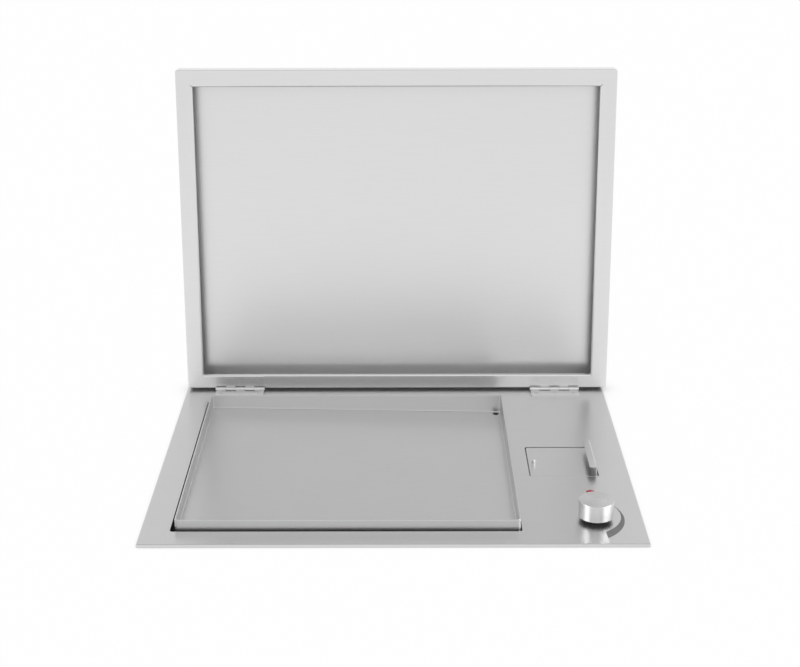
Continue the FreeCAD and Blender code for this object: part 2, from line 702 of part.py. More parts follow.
def in_pack(shape):
    """Shape drawn level under the tray's middle, laid against the sloping underside of the tray."""
    laid = shape.copy()
    laid.Placement = below_floor(TRAY_SHEET).multiply(laid.Placement)
    return laid


def stack_points():
    """Places of the studs that hold the clamp bars and the reflector: three on each bar."""
    first = -BAR_SPACING * (BAR_COUNT - 1) / 2
    rows = (-ELEMENT_MID_Y, 0, ELEMENT_MID_Y)
    return [(first + k * BAR_SPACING, y) for k in range(BAR_COUNT) for y in rows]


def drain_notch(half_x, half_y, z0, z1):
    """Corner cut out of the heating pack where the drain goes down."""
    return box(half_x - SPREADER_NOTCH, half_x + EPS, half_y - SPREADER_NOTCH, half_y + EPS, z0, z1)


def heat_spreader():
    """Aluminium plate pressed against the tray, with welded studs under it."""
    plate = box(-PACK_HALF_X, PACK_HALF_X, -PACK_HALF_Y, PACK_HALF_Y, -SPREADER_THICKNESS, 0)
    plate = plate.cut(drain_notch(PACK_HALF_X, PACK_HALF_Y, -SPREADER_THICKNESS - EPS, EPS))
    low = PAN_TOP - REFLECTOR_SHEET - NUT_HEIGHT_M5 - STACK_STUD_TAIL
    studs = [post(STACK_STUD_RADIUS, x, y, low, -SPREADER_THICKNESS / 2) for x, y in stack_points()]
    return in_pack(one_of([plate] + studs))


def heating_element(side):
    """Tubular heater bent to and fro in its half of the tray, both cold ends at the right."""
    reach = PACK_HALF_X - ELEMENT_END_MARGIN - ELEMENT_BEND
    outlet = reach + ELEMENT_BEND
    rows = [side * ELEMENT_MID_Y + ELEMENT_BEND * (2 * k - ELEMENT_LEGS + 1) for k in range(ELEMENT_LEGS)]
    edges = []
    here = V(outlet, rows[0], ELEMENT_Z)
    for k, row in enumerate(rows):
        left_going = k % 2 == 0
        end_x = -reach if left_going else reach
        if k == ELEMENT_LEGS - 1:
            end_x = outlet
        end = V(end_x, row, ELEMENT_Z)
        edges.append(Part.makeLine(here, end))
        if k < ELEMENT_LEGS - 1:
            bulge = -ELEMENT_BEND if left_going else ELEMENT_BEND
            here = V(end_x, rows[k + 1], ELEMENT_Z)
            edges.append(Part.Arc(end, V(end_x + bulge, row + ELEMENT_BEND, ELEMENT_Z), here).toShape())
    sheath = tube(Part.Wire(edges), ELEMENT_RADIUS)
    ends = [
        rod(COLD_END_RADIUS, V(outlet - EPS, row, ELEMENT_Z), V(outlet + COLD_END_LENGTH, row, ELEMENT_Z))
        for row in (rows[0], rows[-1])
    ]
    return in_pack(one_of([sheath] + ends))


def element_clamp_bars():
    half = ELEMENT_MID_Y + ELEMENT_BEND * (ELEMENT_LEGS - 1) + ELEMENT_RADIUS * 2
    bars = []
    for x in sorted({x for x, y in stack_points()}):
        side = BAR_WIDTH / 2
        bar = rounded_box(x - side, x + side, -half, half, BAR_TOP - BAR_SHEET, BAR_TOP, side / 2)
        holes = [
            post(STACK_STUD_RADIUS + HOLE_CLEARANCE, px, py, BAR_TOP - BAR_SHEET - EPS, BAR_TOP + EPS)
            for px, py in stack_points()
            if px == x
        ]
        bars.append(bar.cut(holes))
    return in_pack(group(bars))


def stack_nuts(under):
    """Nuts on the studs, each tightened up against the sheet whose lower face is at a height."""
    shape = nut(NUT_FLATS_M5, NUT_HEIGHT_M5, STACK_STUD_RADIUS + HOLE_CLEARANCE)
    return in_pack(group([placed(shape, V(x, y, under), -UP) for x, y in stack_points()]))


def reflector_pan():
    """Shallow bright pan hung under the elements on the same studs."""
    half_x = PACK_HALF_X - REFLECTOR_INSET
    half_y = PACK_HALF_Y - REFLECTOR_INSET
    rect = (-half_x, half_x, -half_y, half_y)
    low = PAN_TOP - REFLECTOR_SHEET
    outer = inset_box(rect, 0, low, PAN_TOP + REFLECTOR_LIP, REFLECTOR_CORNER)
    corner = REFLECTOR_CORNER - REFLECTOR_SHEET
    inner = inset_box(rect, REFLECTOR_SHEET, PAN_TOP, PAN_TOP + REFLECTOR_LIP + EPS, corner)
    hole = STACK_STUD_RADIUS + HOLE_CLEARANCE
    holes = [post(hole, x, y, low - EPS, PAN_TOP + EPS) for x, y in stack_points()]
    notch = drain_notch(half_x, half_y, low - EPS, PAN_TOP + REFLECTOR_LIP + EPS)
    return in_pack(outer.cut([inner, notch] + holes))


def thermostat_probe():
    """Sensor bulb between the elements with its thin capillary running to the thermostat."""
    half = PROBE_LENGTH / 2
    bulb = in_pack(rod(PROBE_RADIUS, V(-half, PROBE_OFFSET, PROBE_Z), V(half, PROBE_OFFSET, PROBE_Z)))
    return bulb.fuse(tube(capillary_path(), CAPILLARY_RADIUS)).removeSplitter()


def capillary_path():
    pack = below_floor(TRAY_SHEET)
    turn_x = PARTITION_X + PARTITION_FOOT
    start = pack.multVec(V(PROBE_LENGTH / 2 - EPS, PROBE_OFFSET, PROBE_Z))
    turn = pack.multVec(V(turn_x - TRAY_MID.x, PROBE_OFFSET, PROBE_Z))
    level = PANEL_UNDER - THERMOSTAT_HEIGHT / 2
    corner = V(turn.x, KNOB_Y, level)
    end = V(KNOB_X - THERMOSTAT_SIZE / 2, KNOB_Y, level)
    return rounded_path([start, turn, corner, end], CAPILLARY_BEND)


def probe_clips():
    """Two saddle clips that hold the sensor bulb up against the spreader."""
    clips = []
    wall = PROBE_RADIUS + ELEMENT_GAP + CLIP_SHEET
    low = PROBE_Z - wall
    for x in (-PROBE_LENGTH / 4, PROBE_LENGTH / 4):
        x0 = x - CLIP_WIDTH / 2
        x1 = x + CLIP_WIDTH / 2
        saddle = box(x0, x1, PROBE_OFFSET - wall, PROBE_OFFSET + wall, low, -SPREADER_THICKNESS)
        top = -SPREADER_THICKNESS - CLIP_SHEET
        feet = box(x0, x1, PROBE_OFFSET - CLIP_HALF, PROBE_OFFSET + CLIP_HALF, top, -SPREADER_THICKNESS)
        room = PROBE_RADIUS + ELEMENT_GAP
        bore = rod(room, V(x0 - EPS, PROBE_OFFSET, PROBE_Z), V(x1 + EPS, PROBE_OFFSET, PROBE_Z))
        slot = box(x0 - EPS, x1 + EPS, PROBE_OFFSET - room, PROBE_OFFSET + room, PROBE_Z, EPS)
        clips.append(saddle.fuse(feet).cut([bore, slot]).removeSplitter())
    return in_pack(group(clips))


def safety_cutout():
    """Round snap-disc cut-out screwed under the spreader, with two spade terminals."""
    flange_low = -SPREADER_THICKNESS - CUTOUT_FLANGE_SHEET
    flange = post(CUTOUT_FLANGE_RADIUS, -CUTOUT_OFFSET, 0, flange_low, -SPREADER_THICKNESS)
    low = flange_low - CUTOUT_BODY_HEIGHT
    body = post(CUTOUT_BODY_RADIUS, -CUTOUT_OFFSET, 0, low, flange_low)
    places = [-CUTOUT_OFFSET + side * CUTOUT_BODY_RADIUS / 2 for side in (-1, 1)]
    spades = [spade(x, 0, low, SPADE_WIDTH / 2) for x in places]
    return in_pack(one_of([flange, body] + spades))


def spade(x, y, top, length):
    """Flat terminal that hangs a length below a height, let a little into what carries it."""
    half = SPADE_SHEET / 2
    return box(x - half, x + half, y - SPADE_WIDTH / 2, y + SPADE_WIDTH / 2, top - length, top + EPS)


def drain_spout():
    """Flanged outlet under the drain hole."""
    flange = post(SPOUT_FLANGE_RADIUS, 0, 0, -SPOUT_FLANGE_SHEET, 0)
    stem = post(DRAIN_RADIUS + SPOUT_SHEET, 0, 0, -SPOUT_LENGTH, 0)
    spout = flange.fuse(stem).cut(post(DRAIN_RADIUS, 0, 0, -SPOUT_LENGTH - EPS, EPS)).removeSplitter()
    seat = V(DRAIN_X, DRAIN_Y, floor_height(DRAIN_X, DRAIN_Y)) - FLOOR_NORMAL * TRAY_SHEET
    return placed(spout, seat, FLOOR_NORMAL)


def pipe_top():
    return floor_height(DRAIN_X, DRAIN_Y) - TRAY_SHEET - SPOUT_LENGTH + PIPE_SOCKET


def pipe_path():
    """Down from the drain, forward and right under the panel, and into the back of the grease well."""
    start = V(DRAIN_X, DRAIN_Y, pipe_top())
    elbow = start - UP * (PIPE_CUP_HEIGHT + PIPE_DROP)
    end_x = HATCH_X - WELL_INSIDE / 4
    end = V(end_x, HATCH_Y + WELL_INSIDE / 2, elbow.z - PIPE_FALL)
    before = V(end_x, end.y + PIPE_END_RUN, end.z + PIPE_FALL * PIPE_END_RUN / (DRAIN_Y - end.y))
    return rounded_path([start, elbow, before, end], PIPE_BEND)


def drain_pipe():
    """Pipe with a wide socket at its top that catches what comes off the spout."""
    top = pipe_top()
    floor = top - PIPE_CUP_HEIGHT
    socket = post(PIPE_CUP_RADIUS, DRAIN_X, DRAIN_Y, floor, top)
    outer = tube(pipe_path(), PIPE_RADIUS).fuse(socket)
    bore = tube(pipe_path(), PIPE_RADIUS - PIPE_SHEET)
    socket_bore = post(PIPE_CUP_RADIUS - PIPE_SHEET, DRAIN_X, DRAIN_Y, floor + PIPE_SHEET, top + EPS)
    return outer.cut([bore, socket_bore]).removeSplitter()


def drip_well():
    """Well under the hatch: a flange below the panel, a ledge for the cover and a pocket for the cup."""
    half = WELL_INSIDE / 2
    mouth = HATCH_SIZE / 2 + HATCH_GAP
    corner = CUP_CORNER + CUP_SIDE_GAP
    rim = mouth + WELL_SHEET
    rim_corner = HATCH_CORNER + HATCH_GAP
    flange = inset_box(square(rim + WELL_FLANGE), 0, PANEL_UNDER - WELL_SHEET, PANEL_UNDER, corner)
    collar = inset_box(square(rim), 0, LEDGE_TOP - WELL_SHEET, PANEL_UNDER, rim_corner + WELL_SHEET)
    pocket = inset_box(square(half + WELL_SHEET), 0, WELL_BOTTOM, LEDGE_TOP, corner + WELL_SHEET)
    mouth_room = inset_box(square(mouth), 0, LEDGE_TOP, PANEL_TOP, rim_corner)
    cup_room = inset_box(square(half), 0, WELL_BOTTOM + WELL_SHEET, PANEL_TOP, corner)
    pipe_hole = tube(pipe_path(), PIPE_RADIUS + HOLE_CLEARANCE)
    return one_of([flange, collar, pocket]).cut([mouth_room, cup_room, pipe_hole]).removeSplitter()


def drip_cup():
    """Grease cup hung from the hatch cover on two side straps, open at the back where the pipe comes in."""
    rim = CUP_BOTTOM + CUP_HEIGHT
    rect = square(CUP_HALF)
    bend = CUP_CORNER / 2
    outer = round_edges_at(inset_box(rect, 0, CUP_BOTTOM, rim, CUP_CORNER), CUP_BOTTOM, bend)
    floor = CUP_BOTTOM + CUP_SHEET
    inner = inset_box(rect, CUP_SHEET, floor, rim + EPS, CUP_CORNER - CUP_SHEET)
    inner = round_edges_at(inner, floor, bend - CUP_SHEET)
    pieces = [outer.cut(inner)]
    for side in (-1, 1):
        face = HATCH_X + side * CUP_HALF
        back = face - side * CUP_SHEET
        tab = face - side * CUP_TAB
        y0 = HATCH_Y - STRAP_WIDTH / 2
        y1 = HATCH_Y + STRAP_WIDTH / 2
        pieces.append(box(min(face, back), max(face, back), y0, y1, rim - CUP_CORNER, PLATE_UNDER))
        pieces.append(box(min(face, tab), max(face, tab), y0, y1, PLATE_UNDER - CUP_SHEET, PLATE_UNDER))
    wall = HATCH_Y + CUP_HALF
    lip_half = CUP_HALF - CUP_CORNER
    lip_end = wall + CUP_SIDE_GAP - CUP_LIP_GAP
    lip_start = wall - CUP_SHEET
    pieces.append(box(HATCH_X - lip_half, HATCH_X + lip_half, lip_start, lip_end, rim - CUP_SHEET, rim))
    return one_of(pieces)


def along(shape, direction, x=None, z=None):
    """Straight edges along a direction, kept to those at a given X or Z."""
    found = []
    for edge in shape.Edges:
        middle = edge.CenterOfMass
        if abs(edge.tangentAt(edge.FirstParameter).dot(direction)) < 1 - ANGLE_SLACK:
            continue
        if x is not None and abs(middle.x - x) > LENGTH_SLACK:
            continue
        if z is not None and abs(middle.z - z) > LENGTH_SLACK:
            continue
        found.append(edge)
    return found


def drip_cover():
    """Hatch cover: a shallow pan turned over, flush with the panel, with an angle grip at its right."""
    rect = square(HATCH_SIZE / 2)
    pan = round_edges_at(inset_box(rect, 0, HATCH_UNDER, HATCH_TOP, HATCH_CORNER), HATCH_TOP, HATCH_BEND)
    pan = pan.cut(inset_box(rect, HATCH_SHEET, HATCH_UNDER - EPS, PLATE_UNDER, HATCH_CORNER - HATCH_SHEET))
    right = HATCH_X + HATCH_SIZE / 2 - GRIP_FROM_EDGE
    left = right - GRIP_LIP
    web = right - GRIP_SHEET
    y0 = HATCH_Y - HATCH_SIZE / 2 + GRIP_END_INSET
    y1 = HATCH_Y + HATCH_SIZE / 2 - GRIP_END_INSET
    top = HATCH_TOP + GRIP_HEIGHT
    ceiling = top - GRIP_SHEET
    block = box(left, right, y0, y1, HATCH_TOP - HATCH_SHEET / 2, top)
    block = block.makeFillet(GRIP_CORNER, along(block, UP, x=left))
    block = block.makeFillet(GRIP_BEND + GRIP_SHEET, along(block, BACK, x=right, z=top))
    under = box(left - EPS, web, y0 - EPS, y1 + EPS, PLATE_UNDER, ceiling)
    under = under.makeFillet(GRIP_BEND, along(under, BACK, x=web, z=ceiling))
    return one_of([pan, block.cut(under)])


def cover_stud():
    x = HATCH_X - HATCH_SIZE / 2 + STUD_FROM_EDGE
    stud = post(STUD_RADIUS, x, HATCH_Y - STUD_FORWARD, HATCH_TOP, HATCH_TOP + STUD_HEIGHT)
    return round_edges_at(stud, HATCH_TOP + STUD_HEIGHT, STUD_RADIUS / 2)


def spindle_rod(gap, low, high):
    """Round rod with a flat on the part above the panel's bush, grown by a gap all round."""
    shaft = post(SPINDLE_RADIUS + gap, KNOB_X, KNOB_Y, low, high)
    face = KNOB_X + SPINDLE_RADIUS - SPINDLE_FLAT + gap
    side = SPINDLE_RADIUS * 2
    return shaft.cut(box(face, face + side, KNOB_Y - side, KNOB_Y + side, KNOB_BOTTOM, high + EPS))


def thermostat_spindle():
    return spindle_rod(0, PANEL_UNDER - SPINDLE_IN_BODY, KNOB_BOTTOM + SPINDLE_IN_KNOB)


def control_knob():
    """Turned cap with a crisp top edge, hollow from below around its hub."""
    cap = post(KNOB_RADIUS, KNOB_X, KNOB_Y, KNOB_BOTTOM, KNOB_TOP)
    cap = round_edges_at(cap, KNOB_TOP, KNOB_EDGE)
    ceiling = KNOB_TOP - KNOB_WALL
    hollow = post(KNOB_RADIUS - KNOB_WALL, KNOB_X, KNOB_Y, KNOB_BOTTOM - EPS, ceiling)
    hub = post(KNOB_HUB_RADIUS, KNOB_X, KNOB_Y, KNOB_BOTTOM, ceiling)
    bore = spindle_rod(RUNNING_GAP, KNOB_BOTTOM - EPS, KNOB_BOTTOM + SPINDLE_IN_KNOB + RUNNING_GAP)
    return cap.cut(hollow.cut(hub)).cut(bore).removeSplitter()


def knob_bezel():
    """Dark gasket ring that stands on the panel under the knob."""
    top = KNOB_BOTTOM - BEZEL_GAP
    ring = post(BEZEL_RADIUS, KNOB_X, KNOB_Y, PANEL_TOP, top)
    ring = round_edges_at(ring, top, BEZEL_WALL / 2)
    return ring.cut(post(BEZEL_RADIUS - BEZEL_WALL, KNOB_X, KNOB_Y, PANEL_TOP - EPS, top + EPS))


def thermostat_body():
    """Switch housing under the panel with a threaded bush, a spindle bore and spade terminals."""
    half = THERMOSTAT_SIZE / 2
    low = PANEL_UNDER - THERMOSTAT_HEIGHT
    rect = (KNOB_X - half, KNOB_X + half, KNOB_Y - half, KNOB_Y + half)
    housing = inset_box(rect, 0, low, PANEL_UNDER, THERMOSTAT_CORNER)
    bush = post(BUSH_RADIUS, KNOB_X, KNOB_Y, PANEL_UNDER - EPS, PANEL_TOP + BUSH_ABOVE)
    corners = [(x, y) for x in (-1, 1) for y in (-1, 1)]
    spades = [spade(KNOB_X + x * half / 2, KNOB_Y + y * half / 2, low, SPADE_WIDTH) for x, y in corners]
    bore_end = PANEL_UNDER - SPINDLE_IN_BODY - SLIDE_GAP
    bore = post(SPINDLE_RADIUS + RUNNING_GAP, KNOB_X, KNOB_Y, bore_end, KNOB_BOTTOM)
    return one_of([housing, bush] + spades).cut(bore)


def thermostat_nut():
    shape = nut(THERMOSTAT_NUT_FLATS, THERMOSTAT_NUT_HEIGHT, BUSH_RADIUS + HOLE_CLEARANCE)
    return placed(shape, V(KNOB_X, KNOB_Y, PANEL_TOP))


def pilot_lamp_lens():
    """Red lens: a flat flange on the panel under a low dome."""
    flange = post(LAMP_RADIUS, LAMP_X, LAMP_Y, PANEL_TOP, PANEL_TOP + LAMP_FLANGE)
    base = LAMP_RADIUS - LAMP_LAND
    ball = (base ** 2 + LAMP_DOME ** 2) / (2 * LAMP_DOME)
    top = PANEL_TOP + LAMP_FLANGE + LAMP_DOME
    dome = Part.makeSphere(ball, V(LAMP_X, LAMP_Y, top - ball))
    dome = dome.common(post(base + EPS, LAMP_X, LAMP_Y, PANEL_TOP + LAMP_FLANGE / 2, top + EPS))
    return one_of([flange, dome])


def pilot_lamp_body():
    """Lamp holder through the panel, with two solder tags."""
    low = PANEL_TOP - LAMP_BODY_LENGTH
    barrel = post(LAMP_NECK_RADIUS, LAMP_X, LAMP_Y, low, PANEL_TOP)
    tags = [spade(LAMP_X + side * LAMP_NECK_RADIUS / 2, LAMP_Y, low, SPADE_WIDTH) for side in (-1, 1)]
    return one_of([barrel] + tags)


def pilot_lamp_nut():
    shape = nut(LAMP_NUT_FLATS, LAMP_NUT_HEIGHT, LAMP_NECK_RADIUS + HOLE_CLEARANCE)
    return placed(shape, V(LAMP_X, LAMP_Y, PANEL_UNDER), -UP)


def gland_point(out):
    """Point on the cable gland's axis, a distance outside the casing's rear wall."""
    return V(PANEL_RIGHT - GLAND_FROM_EDGE, CASING_REAR + out, PANEL_UNDER - GLAND_DROP)


def cable_gland():
    """Gland body and tapered cap outside the rear wall, its thread through the wall."""
    tail = CASING_SHEET + GLAND_NUT_HEIGHT + GLAND_TAIL
    thread = rod(GLAND_THREAD_RADIUS, gland_point(-tail), gland_point(EPS))
    body = placed(hexagon(GLAND_FLATS, GLAND_BODY_LENGTH), gland_point(0), BACK)
    cap_end = GLAND_FLATS / 2 * GLAND_CAP_TAPER
    cap = Part.makeCone(GLAND_FLATS / 2, cap_end, GLAND_CAP_LENGTH, gland_point(GLAND_BODY_LENGTH), BACK)
    length = GLAND_BODY_LENGTH + GLAND_CAP_LENGTH
    bore = rod(GLAND_BORE_RADIUS, gland_point(-tail - EPS), gland_point(length + EPS))
    return one_of([thread, body, cap]).cut(bore)


def gland_nut():
    shape = nut(GLAND_NUT_FLATS, GLAND_NUT_HEIGHT, GLAND_THREAD_RADIUS + HOLE_CLEARANCE)
    return placed(shape, gland_point(-CASING_SHEET), -BACK)


def terminal_block():
    """Three-way block on the bottom cover: a barrel for each wire and a screw well above it."""
    width = TERMINAL_WAYS * TERMINAL_PITCH
    x0 = gland_point(0).x - width / 2
    y1 = CASING_REAR - TERMINAL_FROM_WALL
    y0 = y1 - TERMINAL_DEPTH
    low = CASING_BOTTOM + CASING_SHEET
    block = rounded_box(x0, x0 + width, y0, y1, low, low + TERMINAL_HEIGHT, TERMINAL_CORNER)
    cuts = []
    for k in range(TERMINAL_WAYS):
        x = x0 + (k + 0.5) * TERMINAL_PITCH
        z = low + TERMINAL_HEIGHT / 2
        cuts.append(rod(TERMINAL_HOLE, V(x, y0 - EPS, z), V(x, y1 + EPS, z)))
        cuts.append(post(TERMINAL_HOLE, x, (y0 + y1) / 2, z, low + TERMINAL_HEIGHT + EPS))
    for k in range(1, TERMINAL_WAYS):
        x = x0 + k * TERMINAL_PITCH
        slot_low = low + TERMINAL_HEIGHT - TERMINAL_SLOT_DEPTH
        cuts.append(box(x - EPS, x + EPS, y0 - EPS, y1 + EPS, slot_low, low + TERMINAL_HEIGHT + EPS))
    return block.cut(cuts)


def earth_stud():
    """Stud welded to the bottom cover beside the terminals."""
    x = gland_point(0).x - TERMINAL_WAYS * TERMINAL_PITCH / 2 - EARTH_GAP
    y = CASING_REAR - TERMINAL_FROM_WALL - TERMINAL_DEPTH / 2
    low = CASING_BOTTOM + CASING_SHEET
    stud = post(STACK_STUD_RADIUS, x, y, low, low + TERMINAL_HEIGHT)
    return stud.fuse(placed(hexagon(NUT_FLATS_M5, NUT_HEIGHT_M5), V(x, y, low))).removeSplitter()


def knuckle_spans(x, first):
    """Spans of every other knuckle of a hinge centred at x, from the given one on."""
    length = (HINGE_LENGTH - KNUCKLE_GAP * (KNUCKLE_COUNT - 1)) / KNUCKLE_COUNT
    start = x - HINGE_LENGTH / 2
    return [
        (start + k * (length + KNUCKLE_GAP), start + k * (length + KNUCKLE_GAP) + length)
        for k in range(first, KNUCKLE_COUNT, 2)
    ]


def pin_rod(radius, x0, x1):
    return rod(radius, V(x0, PIN_Y, PIN_Z), V(x1, PIN_Y, PIN_Z))


def hinge_leaf(x, first, reach, z0, screw_face):
    """Leaf with its knuckles, drawn with the lid shut: cleared for the other knuckles and countersunk."""
    plate = box(x - HINGE_LENGTH / 2, x + HINGE_LENGTH / 2, PIN_Y - reach, PIN_Y, z0, z0 + LEAF_SHEET)
    corners = [e for e in along(plate, UP) if e.CenterOfMass.y < PIN_Y - EPS]
    plate = plate.makeFillet(LEAF_SHEET, corners)
    knuckles = [pin_rod(KNUCKLE_RADIUS, x0, x1) for x0, x1 in knuckle_spans(x, first)]
    relief = KNUCKLE_RADIUS + LEAF_RELIEF
    others = [pin_rod(relief, x0 - KNUCKLE_GAP, x1 + KNUCKLE_GAP) for x0, x1 in knuckle_spans(x, 1 - first)]
    bore = pin_rod(PIN_RADIUS + RUNNING_GAP, x - HINGE_LENGTH, x + HINGE_LENGTH)
    screw = countersunk_screw(HINGE_SCREW_RADIUS, HINGE_SCREW_HEAD, LEAF_SHEET * 2, SCREW_SEAT_GAP)
    facing = UP if screw_face > z0 else -UP
    points = [p for p in hinge_screw_points(screw_face) if abs(p.x - x) < HINGE_LENGTH / 2]
    holes = [placed(screw, p, facing) for p in points]
    return one_of([plate.cut(others)] + knuckles).cut([bore] + holes)


def panel_hinge_leaf(x):
    return hinge_leaf(x, 0, PANEL_LEAF_REACH, PANEL_TOP, PANEL_TOP + LEAF_SHEET)


def lid_hinge_leaf(x):
    return opened(hinge_leaf(x, 1, LID_LEAF_REACH, LID_UNDER - LEAF_SHEET, LID_UNDER - LEAF_SHEET))


def hinge_pin(x):
    """Pin with a thin rolled head at each end."""
    half = HINGE_LENGTH / 2 + PIN_HEAD_GAP
    pin = pin_rod(PIN_RADIUS, x - half, x + half)
    right_head = pin_rod(PIN_HEAD_RADIUS, x + half, x + half + PIN_HEAD)
    left_head = pin_rod(PIN_HEAD_RADIUS, x - half - PIN_HEAD, x - half)
    return one_of([pin, right_head, left_head])


def panel_hinge_screws():
    length = LEAF_SHEET + PANEL_SHEET + NUT_HEIGHT_M3 + SCREW_TAIL
    screw = countersunk_screw(HINGE_SCREW_RADIUS, HINGE_SCREW_HEAD, length)
    return group([placed(screw, p) for p in hinge_screw_points(PANEL_TOP + LEAF_SHEET)])


def panel_hinge_nuts():
    shape = nut(NUT_FLATS_M3, NUT_HEIGHT_M3, HINGE_SCREW_RADIUS + HOLE_CLEARANCE)
    return group([placed(shape, p, -UP) for p in hinge_screw_points(PANEL_UNDER)])


def lid_hinge_screws():
    length = LEAF_SHEET + LID_SHEET + NUT_HEIGHT_M3 + SCREW_TAIL
    screw = countersunk_screw(HINGE_SCREW_RADIUS, HINGE_SCREW_HEAD, length)
    return opened(group([placed(screw, p, -UP) for p in hinge_screw_points(LID_UNDER - LEAF_SHEET)]))


def lid_hinge_nuts():
    shape = nut(NUT_FLATS_M3, NUT_HEIGHT_M3, HINGE_SCREW_RADIUS + HOLE_CLEARANCE)
    return opened(group([placed(shape, p) for p in hinge_screw_points(LID_UNDER + LID_SHEET)]))


def opened(shape):
    """Copy of a shape made with the lid shut, swung up about the hinge pins."""
    copy = shape.copy()
    copy.rotate(V(0, PIN_Y, PIN_Z), RIGHT, -LID_OPEN_ANGLE)
    return copy


def lid_skin():
    """Outer pan of the lid: the flat back and its walls down to the frame."""
    low = LID_UNDER + LID_FRAME_LIP
    top = LID_UNDER + LID_HEIGHT
    outer = round_edges_at(inset_box(LID_RECT, 0, low, top, LID_CORNER), top, LID_BEND)
    ceiling = top - LID_SHEET
    inner = inset_box(LID_RECT, LID_SHEET, low - EPS, ceiling, LID_CORNER - LID_SHEET)
    inner = round_edges_at(inner, ceiling, LID_BEND - LID_SHEET)
    return opened(outer.cut(inner))


def lid_frame():
    """Folded frame of the lid: a lip up to the pan, a flat face, and a hem turned in round the window."""
    lip_top = LID_UNDER + LID_FRAME_LIP
    hem_top = LID_UNDER + LID_HEM_DEPTH
    face_back = LID_UNDER + LID_SHEET
    outer = round_edges_at(inset_box(LID_RECT, 0, LID_UNDER, lip_top, LID_CORNER), LID_UNDER, LID_FRAME_BEND)
    channel = inset_box(LID_RECT, LID_SHEET, face_back, lip_top + EPS, LID_CORNER - LID_SHEET)
    channel = round_edges_at(channel, face_back, LID_FRAME_BEND - LID_SHEET)
    hem_corner = LID_WINDOW_CORNER + LID_SHEET
    channel = channel.cut(inset_box(LID_WINDOW, -LID_SHEET, LID_UNDER, hem_top, hem_corner))
    channel = channel.makeFillet(LID_HEM_BEND - LID_SHEET, window_edges(channel, face_back))
    window = inset_box(LID_WINDOW, 0, LID_UNDER - EPS, hem_top + EPS, LID_WINDOW_CORNER)
    ring = outer.cut([channel, window]).removeSplitter()
    ring = ring.makeFillet(LID_HEM_BEND - BEND_EASE, window_edges(ring, LID_UNDER))
    hole = HINGE_SCREW_RADIUS + HOLE_CLEARANCE
    screws = [post(hole, p.x, p.y, LID_UNDER - EPS, lip_top) for p in hinge_screw_points(0)]
    return opened(ring.cut(screws + mitre_slits()))


def window_edges(shape, z):
    """Edges at a height that lie near the lid's window and not at the lid's outer edge."""
    x0, x1, y0, y1 = LID_RECT
    inset = LID_FRAME_REAR / 2
    found = []
    for edge in edges_at(shape, z):
        middle = edge.CenterOfMass
        if x0 + inset < middle.x < x1 - inset and y0 + inset < middle.y < y1 - inset:
            found.append(edge)
    return found


def mitre_slits():
    """Thin slits that run out at 45 degrees from the frame's inner corners."""
    x0, x1, y0, y1 = LID_WINDOW
    slits = []
    for x, turn_x in ((x0, -1), (x1, 1)):
        for y, turn_y in ((y0, -1), (y1, 1)):
            slit = box(-LID_SHEET, MITRE_LENGTH, -MITRE_SLIT / 2, MITRE_SLIT / 2, 0, LID_FRAME_LIP + EPS)
            slit.rotate(V(0, 0, 0), UP, math.degrees(math.atan2(turn_y, turn_x)))
            slit.translate(V(x, y, LID_UNDER - EPS / 2))
            slits.append(slit)
    return slits


# Worktop clamps: their corner of the casing and the direction that points away from it
CLAMPS = {
    "front_left": (-1, CASING_FRONT + CLAMP_FROM_END),
    "front_right": (1, CASING_FRONT + CLAMP_FROM_END),
    "rear_left": (-1, CASING_REAR - CLAMP_FROM_END),
    "rear_right": (1, CASING_REAR - CLAMP_FROM_END),
}
CLAMP_TOP = PANEL_UNDER - CLAMP_BRACKET_DROP
CLAMP_HEAD_TOP = CLAMP_TOP + CLAMP_SCREW_ABOVE - CLAMP_SCREW_LENGTH
CLAMP_ARM_LOW = CLAMP_HEAD_TOP + CLAMP_ARM_ABOVE_HEAD


def clamp_axis(side):
    """X of a clamp's screw: far enough out for its arm to turn beside the casing."""
    wall = CASING_RIGHT if side > 0 else CASING_LEFT
    return wall + side * (CLAMP_ARM_WIDTH / 2 + CLAMP_WALL_GAP)


def clamp_brackets():
    """Angle brackets on the outside of the casing's side walls, one for each clamp screw."""
    brackets = []
    for side, y in CLAMPS.values():
        wall = CASING_RIGHT if side > 0 else CASING_LEFT
        end = wall + side * CLAMP_BRACKET_REACH
        leg_face = wall + side * CLAMP_BRACKET_SHEET
        y0 = y - CLAMP_BRACKET_WIDTH / 2
        y1 = y + CLAMP_BRACKET_WIDTH / 2
        shelf = box(min(wall, end), max(wall, end), y0, y1, CLAMP_TOP - CLAMP_BRACKET_SHEET, CLAMP_TOP)
        low = CLAMP_TOP - CLAMP_BRACKET_LEG
        leg = box(min(wall, leg_face), max(wall, leg_face), y0, y1, low, CLAMP_TOP)
        radius = CLAMP_SCREW_RADIUS + HOLE_CLEARANCE
        hole = post(radius, clamp_axis(side), y, CLAMP_TOP - CLAMP_BRACKET_LEG, CLAMP_TOP + EPS)
        brackets.append(shelf.fuse(leg).cut(hole).removeSplitter())
    return group(brackets)


def clamp_screws():
    """Long screws driven up from below, each with a hexagon nut resting on its bracket."""
    screws = []
    shape = nut(NUT_FLATS_M5, NUT_HEIGHT_M5, CLAMP_SCREW_RADIUS - SLIDE_GAP)
    for side, y in CLAMPS.values():
        x = clamp_axis(side)
        shank = post(CLAMP_SCREW_RADIUS, x, y, CLAMP_HEAD_TOP, CLAMP_TOP + CLAMP_SCREW_ABOVE)
        head = post(CLAMP_SCREW_HEAD_RADIUS, x, y, CLAMP_HEAD_TOP - CLAMP_SCREW_HEAD, CLAMP_HEAD_TOP)
        screws.append(one_of([shank, head, placed(shape, V(x, y, CLAMP_TOP))]))
    return group(screws)


